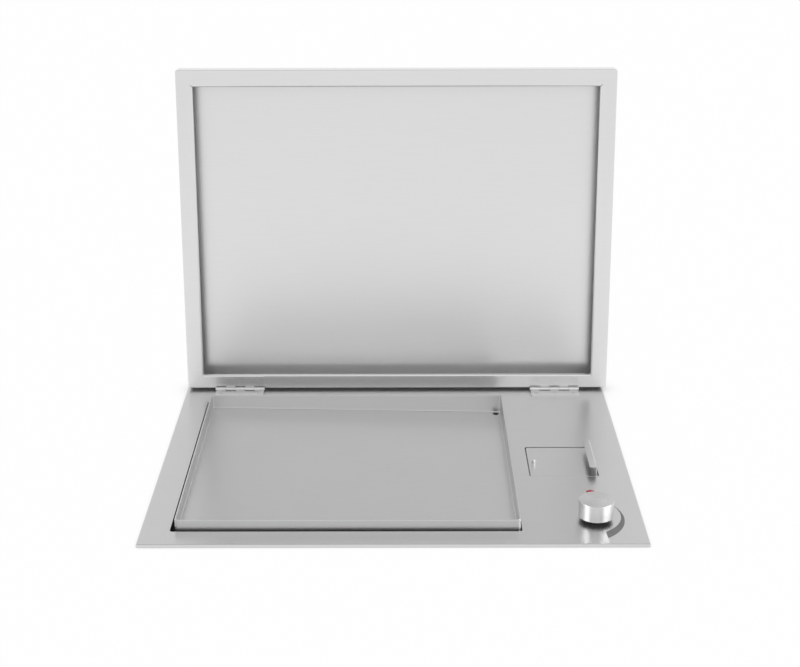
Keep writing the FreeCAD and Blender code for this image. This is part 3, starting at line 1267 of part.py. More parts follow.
def clamp_arm(side, y):
    """Arm that swings out under the worktop on its screw, with a tooth turned up at its tip."""
    x = clamp_axis(side)
    half = CLAMP_ARM_WIDTH / 2
    tip = x + side * CLAMP_ARM_REACH
    tooth = tip - side * CLAMP_ARM_SHEET
    top = CLAMP_ARM_LOW + CLAMP_ARM_SHEET
    pieces = [
        post(half, x, y, CLAMP_ARM_LOW, top),
        box(min(x, tip), max(x, tip), y - half, y + half, CLAMP_ARM_LOW, top),
        box(min(tooth, tip), max(tooth, tip), y - half, y + half, CLAMP_ARM_LOW, top + CLAMP_ARM_LIP),
    ]
    return one_of(pieces).cut(post(CLAMP_SCREW_RADIUS + RUNNING_GAP, x, y, CLAMP_ARM_LOW - EPS, top + EPS))


def all_parts():
    """Every piece by its node name."""
    parts = {
        "top_panel": top_panel(),
        "worktop_seal": worktop_seal(),
        "casing": casing(),
        "casing_bottom": casing_bottom(),
        "casing_screws": casing_screws(),
        "insulation_board": insulation_board(),
        "partition": partition(),
        "griddle_tray": griddle_tray(),
        "support_brackets": support_brackets(),
        "levelling_screws": levelling_screws(),
        "levelling_nuts": levelling_nuts(),
        "heat_spreader": heat_spreader(),
        "heating_element_front": heating_element(-1),
        "heating_element_rear": heating_element(1),
        "element_clamp_bars": element_clamp_bars(),
        "clamp_bar_nuts": stack_nuts(BAR_TOP - BAR_SHEET),
        "reflector_pan": reflector_pan(),
        "reflector_nuts": stack_nuts(PAN_TOP - REFLECTOR_SHEET),
        "thermostat_probe": thermostat_probe(),
        "probe_clips": probe_clips(),
        "safety_cutout": safety_cutout(),
        "drain_spout": drain_spout(),
        "drain_pipe": drain_pipe(),
        "drip_well": drip_well(),
        "drip_cup": drip_cup(),
        "drip_cover": drip_cover(),
        "cover_stud": cover_stud(),
        "control_knob": control_knob(),
        "thermostat_spindle": thermostat_spindle(),
        "knob_bezel": knob_bezel(),
        "thermostat_body": thermostat_body(),
        "thermostat_nut": thermostat_nut(),
        "pilot_lamp_lens": pilot_lamp_lens(),
        "pilot_lamp_body": pilot_lamp_body(),
        "pilot_lamp_nut": pilot_lamp_nut(),
        "cable_gland": cable_gland(),
        "gland_nut": gland_nut(),
        "terminal_block": terminal_block(),
        "earth_stud": earth_stud(),
        "panel_hinge_screws": panel_hinge_screws(),
        "panel_hinge_nuts": panel_hinge_nuts(),
        "lid_hinge_screws": lid_hinge_screws(),
        "lid_hinge_nuts": lid_hinge_nuts(),
        "lid_skin": lid_skin(),
        "lid_frame": lid_frame(),
        "clamp_brackets": clamp_brackets(),
        "clamp_screws": clamp_screws(),
    }
    for hand, x in HINGES.items():
        parts[f"panel_hinge_leaf_{hand}"] = panel_hinge_leaf(x)
        parts[f"lid_hinge_leaf_{hand}"] = lid_hinge_leaf(x)
        parts[f"hinge_pin_{hand}"] = hinge_pin(x)
    for corner, (side, y) in CLAMPS.items():
        parts[f"clamp_arm_{corner}"] = clamp_arm(side, y)
    return parts


os.makedirs("parts", exist_ok=True)
for node, shape in all_parts().items():
    shape.exportStep(f"parts/{node}.step")
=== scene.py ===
import bpy
import json
import math
from mathutils import Matrix, Vector


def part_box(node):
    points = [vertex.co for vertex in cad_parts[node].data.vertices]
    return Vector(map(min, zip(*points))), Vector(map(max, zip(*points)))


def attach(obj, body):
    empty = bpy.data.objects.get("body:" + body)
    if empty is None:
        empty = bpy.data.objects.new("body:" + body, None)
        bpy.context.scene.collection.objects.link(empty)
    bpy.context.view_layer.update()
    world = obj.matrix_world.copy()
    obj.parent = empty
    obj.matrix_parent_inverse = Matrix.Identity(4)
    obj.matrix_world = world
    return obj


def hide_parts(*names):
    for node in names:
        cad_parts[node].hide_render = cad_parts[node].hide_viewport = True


# Built-in electric plancha: finishes for the CAD pieces, the dial print, the hinge screws and a white studio.
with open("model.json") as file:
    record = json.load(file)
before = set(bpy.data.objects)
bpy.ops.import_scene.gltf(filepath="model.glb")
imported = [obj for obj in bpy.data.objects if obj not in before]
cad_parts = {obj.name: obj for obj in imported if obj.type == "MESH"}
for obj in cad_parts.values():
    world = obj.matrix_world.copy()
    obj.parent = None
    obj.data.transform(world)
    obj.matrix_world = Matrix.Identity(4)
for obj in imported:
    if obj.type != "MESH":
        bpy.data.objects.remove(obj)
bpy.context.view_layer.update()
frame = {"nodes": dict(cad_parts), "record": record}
nodes = frame["nodes"]
MM = 0.001

# Places taken from the CAD pieces
knob_low, knob_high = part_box("control_knob")
KNOB_AXIS = (knob_low + knob_high) / 2
PANEL_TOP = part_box("knob_bezel")[0].z


# Materials

def linear(hex_colour):
    """Scene-linear colour of an sRGB hex value."""
    parts = [int(hex_colour[k:k + 2], 16) / 255 for k in (1, 3, 5)]
    return [c / 12.92 if c <= 0.04045 else ((c + 0.055) / 1.055) ** 2.4 for c in parts] + [1.0]


def feed(tree, node, inputs):
    """Set a node's inputs, by name or number, and link those that are given as another node's output."""
    for key, value in inputs.items():
        if isinstance(value, bpy.types.NodeSocket):
            tree.links.new(value, node.inputs[key])
        else:
            node.inputs[key].default_value = value


def add(tree, kind, inputs=(), **settings):
    """Add a shader node with its settings and inputs."""
    node = tree.nodes.new("ShaderNode" + kind)
    for name, value in settings.items():
        setattr(node, name, value)
    feed(tree, node, dict(inputs))
    return node


def new_material(name):
    """Empty material with its tree, its surface shader and the piece's own coordinates."""
    material = bpy.data.materials.new(name)
    material.use_nodes = True
    tree = material.node_tree
    surface = tree.nodes["Principled BSDF"]
    place = add(tree, "TexCoord").outputs["Object"]
    return material, tree, surface, place


# Noise keeps to the middle of its range, so that part of it is stretched
MIDDLE = {1: 0.3, 2: 0.7}

# Belt-ground sheet: depth of a line, soft patches of shine, and the shares of the two in the roughness.
# A wall counts as a side wall when its normal leans far enough along the width.
LINE_DEPTH_MM = 0.02
LINE_STRENGTH = 0.07
LINE_TONES = {1: 0.25, 2: 0.75}
LINE_SHARE = 0.6
CLOUD_MM = 90
CLOUD_SHARE = 0.4
SHINE_LOW = -0.1
SHINE_HIGH = 0.5
SIDE_WALL = 0.7


def brushed_steel(name, dark, light, roughness, spread, line_mm, length_mm, anisotropy):
    """Sheet ground with a belt along its width: fine straight lines that smear reflections across them.

    The real lines are near 0.1 mm wide, so they are drawn a few times coarser to show at all.
    On the side walls they run from front to back.
    """
    material, tree, surface, place = new_material(name)
    facing = add(tree, "NewGeometry").outputs["Normal"]
    lean = add(tree, "SeparateXYZ", {0: facing}).outputs["X"]
    lean = add(tree, "Math", {0: lean}, operation="ABSOLUTE").outputs[0]
    side = add(tree, "Math", {0: lean, 1: SIDE_WALL}, operation="GREATER_THAN").outputs[0]
    across = 1 / (line_mm * MM)
    along = 1 / (length_mm * MM)
    width_wise = add(tree, "Mapping", {"Vector": place, "Scale": (along, across, across)}).outputs[0]
    depth_wise = add(tree, "Mapping", {"Vector": place, "Scale": (across, along, across)}).outputs[0]
    grain = add(tree, "Mix", {0: side, 4: width_wise, 5: depth_wise}, data_type="VECTOR").outputs[1]
    lines = add(tree, "TexNoise", {"Vector": grain, "Scale": 1.0, "Detail": 3.0}).outputs[0]
    cloud = add(tree, "TexNoise", {"Vector": place, "Scale": 1 / (CLOUD_MM * MM), "Detail": 2.0}).outputs[0]
    tone = add(tree, "MapRange", {0: lines, **LINE_TONES}).outputs[0]
    colour = add(tree, "Mix", {0: tone, 6: linear(dark), 7: linear(light)}, data_type="RGBA").outputs[2]
    by_lines = {0: lines, 1: LINE_SHARE, 2: -LINE_SHARE / 2}
    shine = add(tree, "Math", by_lines, operation="MULTIPLY_ADD").outputs[0]
    shine = add(tree, "Math", {0: cloud, 1: CLOUD_SHARE, 2: shine}, operation="MULTIPLY_ADD").outputs[0]
    limits = {1: SHINE_LOW, 2: SHINE_HIGH, 3: roughness - spread, 4: roughness + spread}
    rough = add(tree, "MapRange", {0: shine, **limits}).outputs[0]
    groove = {"Height": lines, "Strength": LINE_STRENGTH, "Distance": LINE_DEPTH_MM * MM}
    bump = add(tree, "Bump", groove).outputs[0]
    run = add(tree, "Mix", {0: side, 4: (1, 0, 0), 5: (0, 1, 0)}, data_type="VECTOR").outputs[1]
    smear = add(tree, "VectorMath", {0: facing, 1: run}, operation="CROSS_PRODUCT").outputs[0]
    feed(tree, surface, {"Base Color": colour, "Roughness": rough, "Normal": bump, "Tangent": smear,
                         "Metallic": 1.0, "Anisotropic": anisotropy})
    return material


GRAIN_STRENGTH = 0.4


def mottled(name, dark, light, metallic, low, high, patch_mm, grain_mm, grain_depth_mm):
    """Plain finish with soft patches of tone and a fine grain: formed metal, mouldings, board and ink."""
    material, tree, surface, place = new_material(name)
    patch = add(tree, "TexNoise", {"Vector": place, "Scale": 1 / (patch_mm * MM), "Detail": 4.0}).outputs[0]
    fine = add(tree, "TexNoise", {"Vector": place, "Scale": 1 / (grain_mm * MM), "Detail": 2.0}).outputs[0]
    tone = add(tree, "MapRange", {0: patch, **MIDDLE}).outputs[0]
    colour = add(tree, "Mix", {0: tone, 6: linear(dark), 7: linear(light)}, data_type="RGBA").outputs[2]
    rough = add(tree, "MapRange", {0: fine, **MIDDLE, 3: low, 4: high}).outputs[0]
    grain = {"Height": fine, "Strength": GRAIN_STRENGTH, "Distance": grain_depth_mm * MM}
    bump = add(tree, "Bump", grain).outputs[0]
    feed(tree, surface, {"Base Color": colour, "Roughness": rough, "Normal": bump, "Metallic": metallic})
    return material


# Galvanised sheet: size of a zinc crystal, size of the grain in it, and how far the grain changes its grey
SPANGLE_MM = 12
ZINC_GRAIN_MM = 1.5
ZINC_GRAIN_SHARE = 0.5
ZINC_ROUGHNESS = {3: 0.34, 4: 0.52}


def galvanised_sheet():
    """Hot-dip galvanised sheet: large zinc crystals, each with its own grey and its own shine."""
    material, tree, surface, place = new_material("galvanised_steel_spangled")
    spangle = add(tree, "TexVoronoi", {"Vector": place, "Scale": 1 / (SPANGLE_MM * MM)})
    crystal = add(tree, "SeparateColor", {0: spangle.outputs["Color"]}).outputs[0]
    zinc_grain = {"Vector": place, "Scale": 1 / (ZINC_GRAIN_MM * MM), "Detail": 3.0}
    fine = add(tree, "TexNoise", zinc_grain).outputs[0]
    tone = add(tree, "Math", {0: fine, 1: ZINC_GRAIN_SHARE, 2: crystal}, operation="MULTIPLY_ADD").outputs[0]
    greys = {6: linear("#9CA1A6"), 7: linear("#BCC0C4")}
    colour = add(tree, "Mix", {0: tone, **greys}, data_type="RGBA").outputs[2]
    rough = add(tree, "MapRange", {0: tone, 1: 0.0, 2: 1 + ZINC_GRAIN_SHARE, **ZINC_ROUGHNESS}).outputs[0]
    feed(tree, surface, {"Base Color": colour, "Roughness": rough, "Metallic": 1.0})
    return material


# Turned knob: its rings are drawn coarser than a lathe's real feed, and its top is smoother than its side
RING_MM = 0.5
RING_DEPTH_MM = 0.02
RING_STRENGTH = 0.1
RING_SMEAR = 0.75
KNOB_ROUGHNESS = {3: 0.34, 4: 0.42}
TOP_FACE = {1: 0.3, 2: 0.8}
TOP_SMOOTHER = -0.1


def turned_metal():
    """Knob turned on a lathe: fine rings round its axis and a smoother top, with painted light on its side
    and painted shade on its top, picked by which way a face looks.
    """
    material, tree, surface, place = new_material("aluminium_turned_polished")
    centre = (-KNOB_AXIS.x, -KNOB_AXIS.y, 0)
    local = add(tree, "Mapping", {"Vector": place, "Location": centre}).outputs[0]
    flat = add(tree, "VectorMath", {0: local, 1: (1, 1, 0)}, operation="MULTIPLY").outputs[0]
    radius = add(tree, "VectorMath", {0: flat}, operation="LENGTH").outputs["Value"]
    height = add(tree, "SeparateXYZ", {0: local}).outputs["Z"]
    profile = add(tree, "Math", {0: radius, 1: height}, operation="SUBTRACT").outputs[0]
    feed_marks = {"W": profile, "Scale": 1 / (RING_MM * MM), "Detail": 2.0}
    rings = add(tree, "TexNoise", feed_marks, noise_dimensions="1D").outputs[0]
    facing = add(tree, "NewGeometry").outputs["Normal"]
    upward = add(tree, "SeparateXYZ", {0: facing}).outputs["Z"]
    face = add(tree, "MapRange", {0: upward, **TOP_FACE}).outputs[0]
    # The side's lighter greys are painted light and the top's darker greys are painted shade, mixed by which
    # way a face looks
    side_painted_light_greys = {6: linear("#DCDCDC"), 7: linear("#E4E4E4")}
    top_painted_shade_greys = {6: linear("#CECECE"), 7: linear("#D6D6D6")}
    side = add(tree, "Mix", {0: rings, **side_painted_light_greys}, data_type="RGBA").outputs[2]
    top = add(tree, "Mix", {0: rings, **top_painted_shade_greys}, data_type="RGBA").outputs[2]
    colour = add(tree, "Mix", {0: face, 6: side, 7: top}, data_type="RGBA").outputs[2]
    rough = add(tree, "MapRange", {0: rings, **MIDDLE, **KNOB_ROUGHNESS}).outputs[0]
    rough = add(tree, "Math", {0: face, 1: TOP_SMOOTHER, 2: rough}, operation="MULTIPLY_ADD").outputs[0]
    round_it = add(tree, "VectorMath", {0: (0, 0, 1), 1: flat}, operation="CROSS_PRODUCT").outputs[0]
    smear = add(tree, "VectorMath", {0: facing, 1: round_it}, operation="CROSS_PRODUCT").outputs[0]
    smear = add(tree, "VectorMath", {0: smear}, operation="NORMALIZE").outputs[0]
    groove = {"Height": rings, "Strength": RING_STRENGTH, "Distance": RING_DEPTH_MM * MM}
    bump = add(tree, "Bump", groove).outputs[0]
    feed(tree, surface, {"Base Color": colour, "Roughness": rough, "Normal": bump, "Tangent": smear,
                         "Metallic": 1.0, "Anisotropic": RING_SMEAR})
    return material


# Lamp lens: pitch of its prism rings, and how polycarbonate bends light
PRISM_MM = 0.9
LENS_ROUGHNESS = {3: 0.16, 4: 0.24}
LENS_IOR = 1.58
LENS_COAT = 0.3


def lamp_lens():
    """Red polycarbonate lens, moulded with fine prism rings inside and polished outside."""
    material, tree, surface, place = new_material("polycarbonate_red_moulded")
    low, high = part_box("pilot_lamp_lens")
    centre = [-(low[k] + high[k]) / 2 for k in range(2)] + [0]
    local = add(tree, "Mapping", {"Vector": place, "Location": centre}).outputs[0]
    flat = add(tree, "VectorMath", {0: local, 1: (1, 1, 0)}, operation="MULTIPLY").outputs[0]
    radius = add(tree, "VectorMath", {0: flat}, operation="LENGTH").outputs["Value"]
    turns = add(tree, "Math", {0: radius, 1: 2 * math.pi / (PRISM_MM * MM)}, operation="MULTIPLY").outputs[0]
    rings = add(tree, "Math", {0: turns}, operation="SINE").outputs[0]
    tone = add(tree, "MapRange", {0: rings, 1: -1.0, 2: 1.0}).outputs[0]
    reds = {6: linear("#9A0828"), 7: linear("#CC1440")}
    colour = add(tree, "Mix", {0: tone, **reds}, data_type="RGBA").outputs[2]
    rough = add(tree, "MapRange", {0: tone, **LENS_ROUGHNESS}).outputs[0]
    feed(tree, surface, {"Base Color": colour, "Roughness": rough, "IOR": LENS_IOR, "Coat Weight": LENS_COAT})
    return material


# Brushed sheet: name, darkest and lightest grey, roughness and its spread, width and length of a line in mm,
# and how far the lines smear a reflection

# Panel and hatch: one belt finish, whose lines smear reflections the most
PANEL_STEEL = brushed_steel("stainless_steel_brushed_panel", "#D4D4D4", "#DADADA", 0.32, 0.03, 0.5, 45, 0.5)
# Lid: lines of the same size with little smear, so it mirrors more evenly; it is brighter because its greys,
# lighter than the panel's steel, are painted light
LID_STEEL_PAINTED_LIGHT = brushed_steel("stainless_steel_brushed_lid_painted_light", "#E6E6E6", "#EAEAEA", 0.31, 0.02, 0.5, 45, 0.1)
# Tray: satin, a little softer than the panel
TRAY_STEEL = brushed_steel("stainless_steel_satin_tray", "#D3D3D3", "#D9D9D9", 0.34, 0.03, 0.6, 30, 0.45)
# Hinge leaves, pins and their screws: bright satin strip
HINGE_STEEL = brushed_steel("stainless_steel_satin_hinge", "#DEDEDE", "#E6E6E6", 0.31, 0.03, 0.4, 20, 0.1)
# Drain, well and cup: sheet as it leaves the mill, duller and streaked
DRAIN_STEEL = brushed_steel("stainless_steel_mill_finish", "#BDBDBD", "#CDCDCD", 0.36, 0.06, 0.8, 30, 0.3)
# Heat spreader: rolled plate, pale and soft
SPREADER_PLATE = brushed_steel("aluminium_rolled_mill_finish", "#C4C5C7", "#D3D4D6", 0.42, 0.06, 0.8, 60, 0.4)
# Reflector: bright coated sheet, the shiniest of them
REFLECTOR_SHEET = brushed_steel("steel_aluminised_bright", "#CFD0D1", "#DCDDDE", 0.26, 0.05, 1.0, 40, 0.3)

# Mottled finishes: name, darkest and lightest colour, metallic, lowest and highest roughness,
# and the size of a patch, the size of the grain and its depth in mm

# Screws, nuts and the earth stud: formed cold, smooth with faint patches
SCREW_STEEL = mottled("stainless_steel_cold_headed", "#BEBEBE", "#D2D2D2", 1.0, 0.22, 0.34, 6, 0.6, 0.01)
# Stud of the hatch: blasted and soft, so that its glint spreads, and pale as a painted highlight, paler than
# the other screws
STUD_STEEL_PAINTED_GLINT = mottled("stainless_steel_blasted_painted_glint", "#E6E6E6", "#F0F0F0", 1.0, 0.42, 0.52, 6, 0.6, 0.005)
# Spindle: ground bar, mid grey
SPINDLE_STEEL = mottled("steel_ground", "#A8A8A8", "#C0C0C0", 1.0, 0.25, 0.38, 5, 0.5, 0.01)
# Element tube: browned and dulled by heat
SHEATH_STEEL = mottled("steel_sheath_oxidised", "#38342F", "#57514A", 0.7, 0.5, 0.7, 18, 0.8, 0.03)
# Thermostat probe: drawn copper, darker where it has tarnished
COPPER = mottled("copper_drawn_tarnished", "#8E5A3C", "#B9764F", 1.0, 0.28, 0.42, 10, 0.6, 0.01)
# Worktop seal and the ring under the knob: black and matt
SILICONE = mottled("silicone_black_matt", "#121212", "#1D1D1D", 0.0, 0.55, 0.7, 12, 0.5, 0.02)
# Thermostat, cut-out, lamp body and gland: black moulding with a slight gloss
PHENOLIC = mottled("phenolic_black_moulded", "#151515", "#222222", 0.0, 0.38, 0.52, 15, 0.4, 0.02)
# Terminal block: off-white pressed ceramic
CERAMIC = mottled("steatite_white_pressed", "#DAD6CB", "#EBE8E0", 0.0, 0.4, 0.55, 8, 0.4, 0.02)
# Insulation: cream board, matt and fibrous
FIBRE_BOARD = mottled("mineral_fibre_board", "#CDC2A6", "#E0D8C2", 0.0, 0.85, 0.98, 10, 1.2, 0.3)
# Dial print: grey ink, flat against the shine of the sheet
INK = mottled("ink_grey_screen_printed", "#7C7C7C", "#888888", 0.0, 0.5, 0.62, 6, 0.4, 0.004)

# Casing, brackets, clamps and clips: zinc crystals that break the grey into patches
GALVANISED = galvanised_sheet()
# Knob: rings that draw reflections out into upright bands
KNOB_METAL = turned_metal()
# Lamp lens: deep red with a wet gloss
LENS_RED = lamp_lens()

FINISHES = {
    "brushed_panel": PANEL_STEEL,
    "brushed_lid": LID_STEEL_PAINTED_LIGHT,
    "brushed_tray": TRAY_STEEL,
    "hinge_steel": HINGE_STEEL,
    "fastener_steel": SCREW_STEEL,
    "turned_knob": KNOB_METAL,
    "spindle_steel": SPINDLE_STEEL,
    "black_gasket": SILICONE,
    "red_lens": LENS_RED,
    "galvanised_sheet": GALVANISED,
    "bright_reflector": REFLECTOR_SHEET,
    "spreader_aluminium": SPREADER_PLATE,
    "element_sheath": SHEATH_STEEL,
    "insulation_fibre": FIBRE_BOARD,
    "copper_probe": COPPER,
    "drain_steel": DRAIN_STEEL,
    "black_moulding": PHENOLIC,
    "white_moulding": CERAMIC,
}
for subpart in frame["record"]["subparts"]:
    piece = nodes[subpart["node"]]
    piece.data.materials.clear()
    piece.data.materials.append(FINISHES[subpart["material_slot"]])
# The hatch's stud takes its own pale steel, a painted highlight that stands in for its glint
nodes["cover_stud"].data.materials[0] = STUD_STEEL_PAINTED_GLINT


# New pieces

def deselect():
    """Leave edit mode and select nothing."""
    if bpy.context.object and bpy.context.object.mode != "OBJECT":
        bpy.ops.object.mode_set(mode="OBJECT")
    bpy.ops.object.select_all(action="DESELECT")


def cut_away(piece, cutter):
    """Cut one mesh out of another and drop the cutter."""
    deselect()
    piece.select_set(True)
    bpy.context.view_layer.objects.active = piece
    difference = piece.modifiers.new("difference", "BOOLEAN")
    difference.object = cutter
    difference.operation = "DIFFERENCE"
    bpy.ops.object.modifier_apply(modifier=difference.name)
    bpy.data.objects.remove(cutter)


# Dial print: a crescent between two circles that grows clockwise round the knob to a square-cut end.
# Places are measured from the knob's axis, and each cut has its direction.
PRINT_INNER = 58.7 * MM
PRINT_INNER_PLACE = Vector((-22.1, 11.9, 0)) * MM
PRINT_OUTER = 72.4 * MM
PRINT_OUTER_PLACE = Vector((-31.9, 2.8, 0)) * MM
PRINT_THICK = 0.06 * MM
PRINT_CUTTER = 10 * PRINT_THICK
PRINT_SIDES = 256
PRINT_END = Vector((10.2, -46, 0)) * MM
PRINT_END_CUT = (1, 0.07, 0)
PRINT_TIP = Vector((28, 46, 0)) * MM
PRINT_TIP_CUT = (0, -1, 0)
MERGE = 0.001 * MM


def dial_print():
    """Screen-printed wedge that shows which way the heat rises, laid on the panel round the knob."""
    deselect()
    hub = Vector((KNOB_AXIS.x, KNOB_AXIS.y, PANEL_TOP + PRINT_THICK / 2))
    bpy.ops.mesh.primitive_cylinder_add(vertices=PRINT_SIDES, radius=PRINT_OUTER, depth=PRINT_THICK,
                                        location=hub + PRINT_OUTER_PLACE)
    band = bpy.context.object
    band.name = "dial_print"
    bpy.ops.object.transform_apply(location=True)
    deselect()
    bpy.ops.mesh.primitive_cylinder_add(vertices=PRINT_SIDES, radius=PRINT_INNER, depth=PRINT_CUTTER,
                                        location=hub + PRINT_INNER_PLACE)
    cut_away(band, bpy.context.object)
    bpy.ops.object.mode_set(mode="EDIT")
    for place, normal in ((PRINT_END, PRINT_END_CUT), (PRINT_TIP, PRINT_TIP_CUT)):
        bpy.ops.mesh.select_all(action="SELECT")
        bpy.ops.mesh.bisect(plane_co=hub + place, plane_no=normal, clear_inner=True, use_fill=True)
    bpy.ops.mesh.select_all(action="SELECT")
    bpy.ops.mesh.remove_doubles(threshold=MERGE)
    bpy.ops.mesh.normals_make_consistent(inside=False)
    bpy.ops.object.mode_set(mode="OBJECT")
    band.data.materials.clear()
    band.data.materials.append(INK)
    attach(band, "base")


# Countersunk cross-recess screws of the hinge leaves, flush with each leaf.
# Heads and shanks go by their radius, and each screw is turned a little from its neighbour, in radians.
SCREW_SIDES = 48
SCREW_HEAD = 2.85 * MM
SCREW_SHANK = 1.5 * MM
SCREW_CONE = 1.35 * MM
SCREW_LENGTH = 6.6 * MM
HEAD_EDGE = 0.15 * MM
RECESS_SPAN = 3.4 * MM
RECESS_SLOT = 0.8 * MM
RECESS_DEPTH = 0.7 * MM
SCREW_SPACING = 30.5 * MM
SCREW_FROM_PIN = 14.0 * MM
SCREW_TURN = 0.7
LEAF_SHEET = 2.0 * MM
LID_LEAF_RISE = 1.75 * MM
LID_OPEN = math.radians(94.6)
UPWARD = 0.9


def cross_screw():
    """One screw at the origin: its head's face at Z = 0 and its shank below."""
    deselect()
    bpy.ops.mesh.primitive_cylinder_add(vertices=SCREW_SIDES, radius=SCREW_SHANK,
                                        depth=SCREW_LENGTH - SCREW_CONE,
                                        location=(0, 0, -(SCREW_LENGTH + SCREW_CONE) / 2))
    screw = bpy.context.object
    bpy.ops.object.transform_apply(location=True)
    bpy.ops.object.mode_set(mode="EDIT")
    bpy.ops.mesh.select_all(action="DESELECT")
    bpy.ops.object.mode_set(mode="OBJECT")
    for face in screw.data.polygons:
        face.select = face.normal.z > UPWARD
    bpy.ops.object.mode_set(mode="EDIT")
    bpy.ops.mesh.extrude_region_move(TRANSFORM_OT_translate={"value": (0, 0, SCREW_CONE)})
    grow = SCREW_HEAD / SCREW_SHANK
    bpy.ops.transform.resize(value=(grow, grow, 1), center_override=(0, 0, 0))
    bpy.ops.mesh.inset(thickness=HEAD_EDGE)
    for turn in (0, math.pi / 2):
        deselect()
        bpy.ops.mesh.primitive_cube_add(size=1, location=(0, 0, 0), rotation=(0, 0, turn))
        cutter = bpy.context.object
        cutter.scale = (RECESS_SPAN, RECESS_SLOT, 2 * RECESS_DEPTH)
        bpy.ops.object.transform_apply()
        cut_away(screw, cutter)
    return screw


def hinge_screws(pattern, node, body, on_lid):
    """Copies of a screw through the panel's or the lid's leaf of both hinges, joined to one piece."""
    pin_low, pin_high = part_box("hinge_pin_left")
    pin = (pin_low + pin_high) / 2
    opened = Matrix.Translation((0, pin.y, pin.z)) @ Matrix.Rotation(-LID_OPEN, 4, "X")
    copies = []
    for side in ("left", "right"):
        low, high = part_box("panel_hinge_leaf_" + side)
        for step in (-1, 0, 1):
            x = (low.x + high.x) / 2 + step * SCREW_SPACING
            if on_lid:
                on_leaf = Matrix.Translation((x, -SCREW_FROM_PIN, LID_LEAF_RISE))
                place = opened @ on_leaf @ Matrix.Rotation(math.pi, 4, "X")
            else:
                place = Matrix.Translation((x, pin.y - SCREW_FROM_PIN, low.z + LEAF_SHEET))
            copy = bpy.data.objects.new(node + "_heads", pattern.data.copy())
            copy.data.transform(place @ Matrix.Rotation(step * SCREW_TURN, 4, "Z"))
            bpy.context.scene.collection.objects.link(copy)
            copies.append(copy)
    deselect()
    for copy in copies:
        copy.select_set(True)
    bpy.context.view_layer.objects.active = copies[0]
    bpy.ops.object.join()
    piece = bpy.context.object
    piece.data.materials.clear()
    piece.data.materials.append(HINGE_STEEL)
    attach(piece, body)
    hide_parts(node)


dial_print()
screw_pattern = cross_screw()
hinge_screws(screw_pattern, "panel_hinge_screws", "base", False)
hinge_screws(screw_pattern, "lid_hinge_screws", "lid", True)
bpy.data.objects.remove(screw_pattern)


# Studio, which isn't part of the object

# Worktop: how many times its cut-out it reaches, how near a piece has to be to shade it,
# and how the shade grades
WORKTOP_REACH = 20
CONTACT_REACH = 0.06
CONTACT_RAYS = 6
CONTACT_SHADE = {1: 0.2, 2: 0.8, 4: 0.98}
# Seen in the steel, the worktop dims behind the lid and clears again further back.
# Places are in metres and levels are shares of white.
DIM_START = 0.2
DIM_FULL = 0.45
DIM_END = 2.0
DIM_LOW = 0.68
DIM_FAR = 0.95

# Seen in the steel, the room is darker overhead and low in front of the part, and brighter at the sides.
# Levels are shares of white.
CEILING = 0.5
FRONT = 0.76
FRONT_RISE = 1.5
FRONT_FROM = -1.0
FRONT_TO = -0.2
SIDES = 1.1
# What the room gives to matt surfaces
ROOM_LIGHT = 0.7


def white_worktop():
    """White worktop at the level of the rim, with a cut-out, which hides the casing as a built-in does."""
    deselect()
    seal_low, seal_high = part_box("worktop_seal")
    bpy.ops.mesh.primitive_plane_add(size=1, location=(0, 0, 0))
    top = bpy.context.object
    top.name = "worktop"
    top.scale = (seal_high.x - seal_low.x, seal_high.y - seal_low.y, 1)
    bpy.ops.object.transform_apply(location=False, rotation=False, scale=True)
    bpy.ops.object.mode_set(mode="EDIT")
    bpy.ops.mesh.select_all(action="SELECT")
    bpy.ops.mesh.delete(type="ONLY_FACE")
    bpy.ops.mesh.select_all(action="SELECT")
    bpy.ops.mesh.extrude_edges_move()
    bpy.ops.transform.resize(value=(WORKTOP_REACH, WORKTOP_REACH, 1))
    bpy.ops.object.mode_set(mode="OBJECT")
    material = bpy.data.materials.new("worktop_white_matt")
    material.use_nodes = True
    tree = material.node_tree
    tree.nodes.clear()
    path = add(tree, "LightPath").outputs
    camera, glossy, through = path["Is Camera Ray"], path["Is Glossy Ray"], path["Is Transmission Ray"]
    seen = add(tree, "Math", {0: camera, 1: glossy}, operation="MAXIMUM").outputs[0]
    seen = add(tree, "Math", {0: seen, 1: through}, operation="MAXIMUM").outputs[0]
    open_air = add(tree, "AmbientOcclusion", {"Distance": CONTACT_REACH}, samples=CONTACT_RAYS).outputs["AO"]
    open_air = add(tree, "MapRange", {0: open_air, **CONTACT_SHADE}).outputs[0]
    share = add(tree, "Math", {0: seen, 1: open_air}, operation="MULTIPLY").outputs[0]
    back = add(tree, "SeparateXYZ", {0: add(tree, "TexCoord").outputs["Object"]}).outputs["Y"]
    near = add(tree, "MapRange", {0: back, 1: DIM_START, 2: DIM_FULL, 3: 1.0, 4: DIM_LOW}).outputs[0]
    far = add(tree, "MapRange", {0: back, 1: DIM_FULL, 2: DIM_END, 3: DIM_LOW, 4: DIM_FAR}).outputs[0]
    past = add(tree, "Math", {0: back, 1: DIM_FULL}, operation="GREATER_THAN").outputs[0]
    white = add(tree, "Mix", {0: past, 2: near, 3: far}, data_type="FLOAT").outputs[0]
    white = add(tree, "Math", {0: white, 1: camera}, operation="MAXIMUM").outputs[0]
    matt = add(tree, "BsdfDiffuse", {"Color": linear("#F4F4F4")}).outputs[0]
    glow = add(tree, "Emission", {"Color": (1, 1, 1, 1), "Strength": white}).outputs[0]
    surface = add(tree, "MixShader", {0: share, 1: matt, 2: glow}).outputs[0]
    add(tree, "OutputMaterial", {"Surface": surface})
    top.data.materials.append(material)


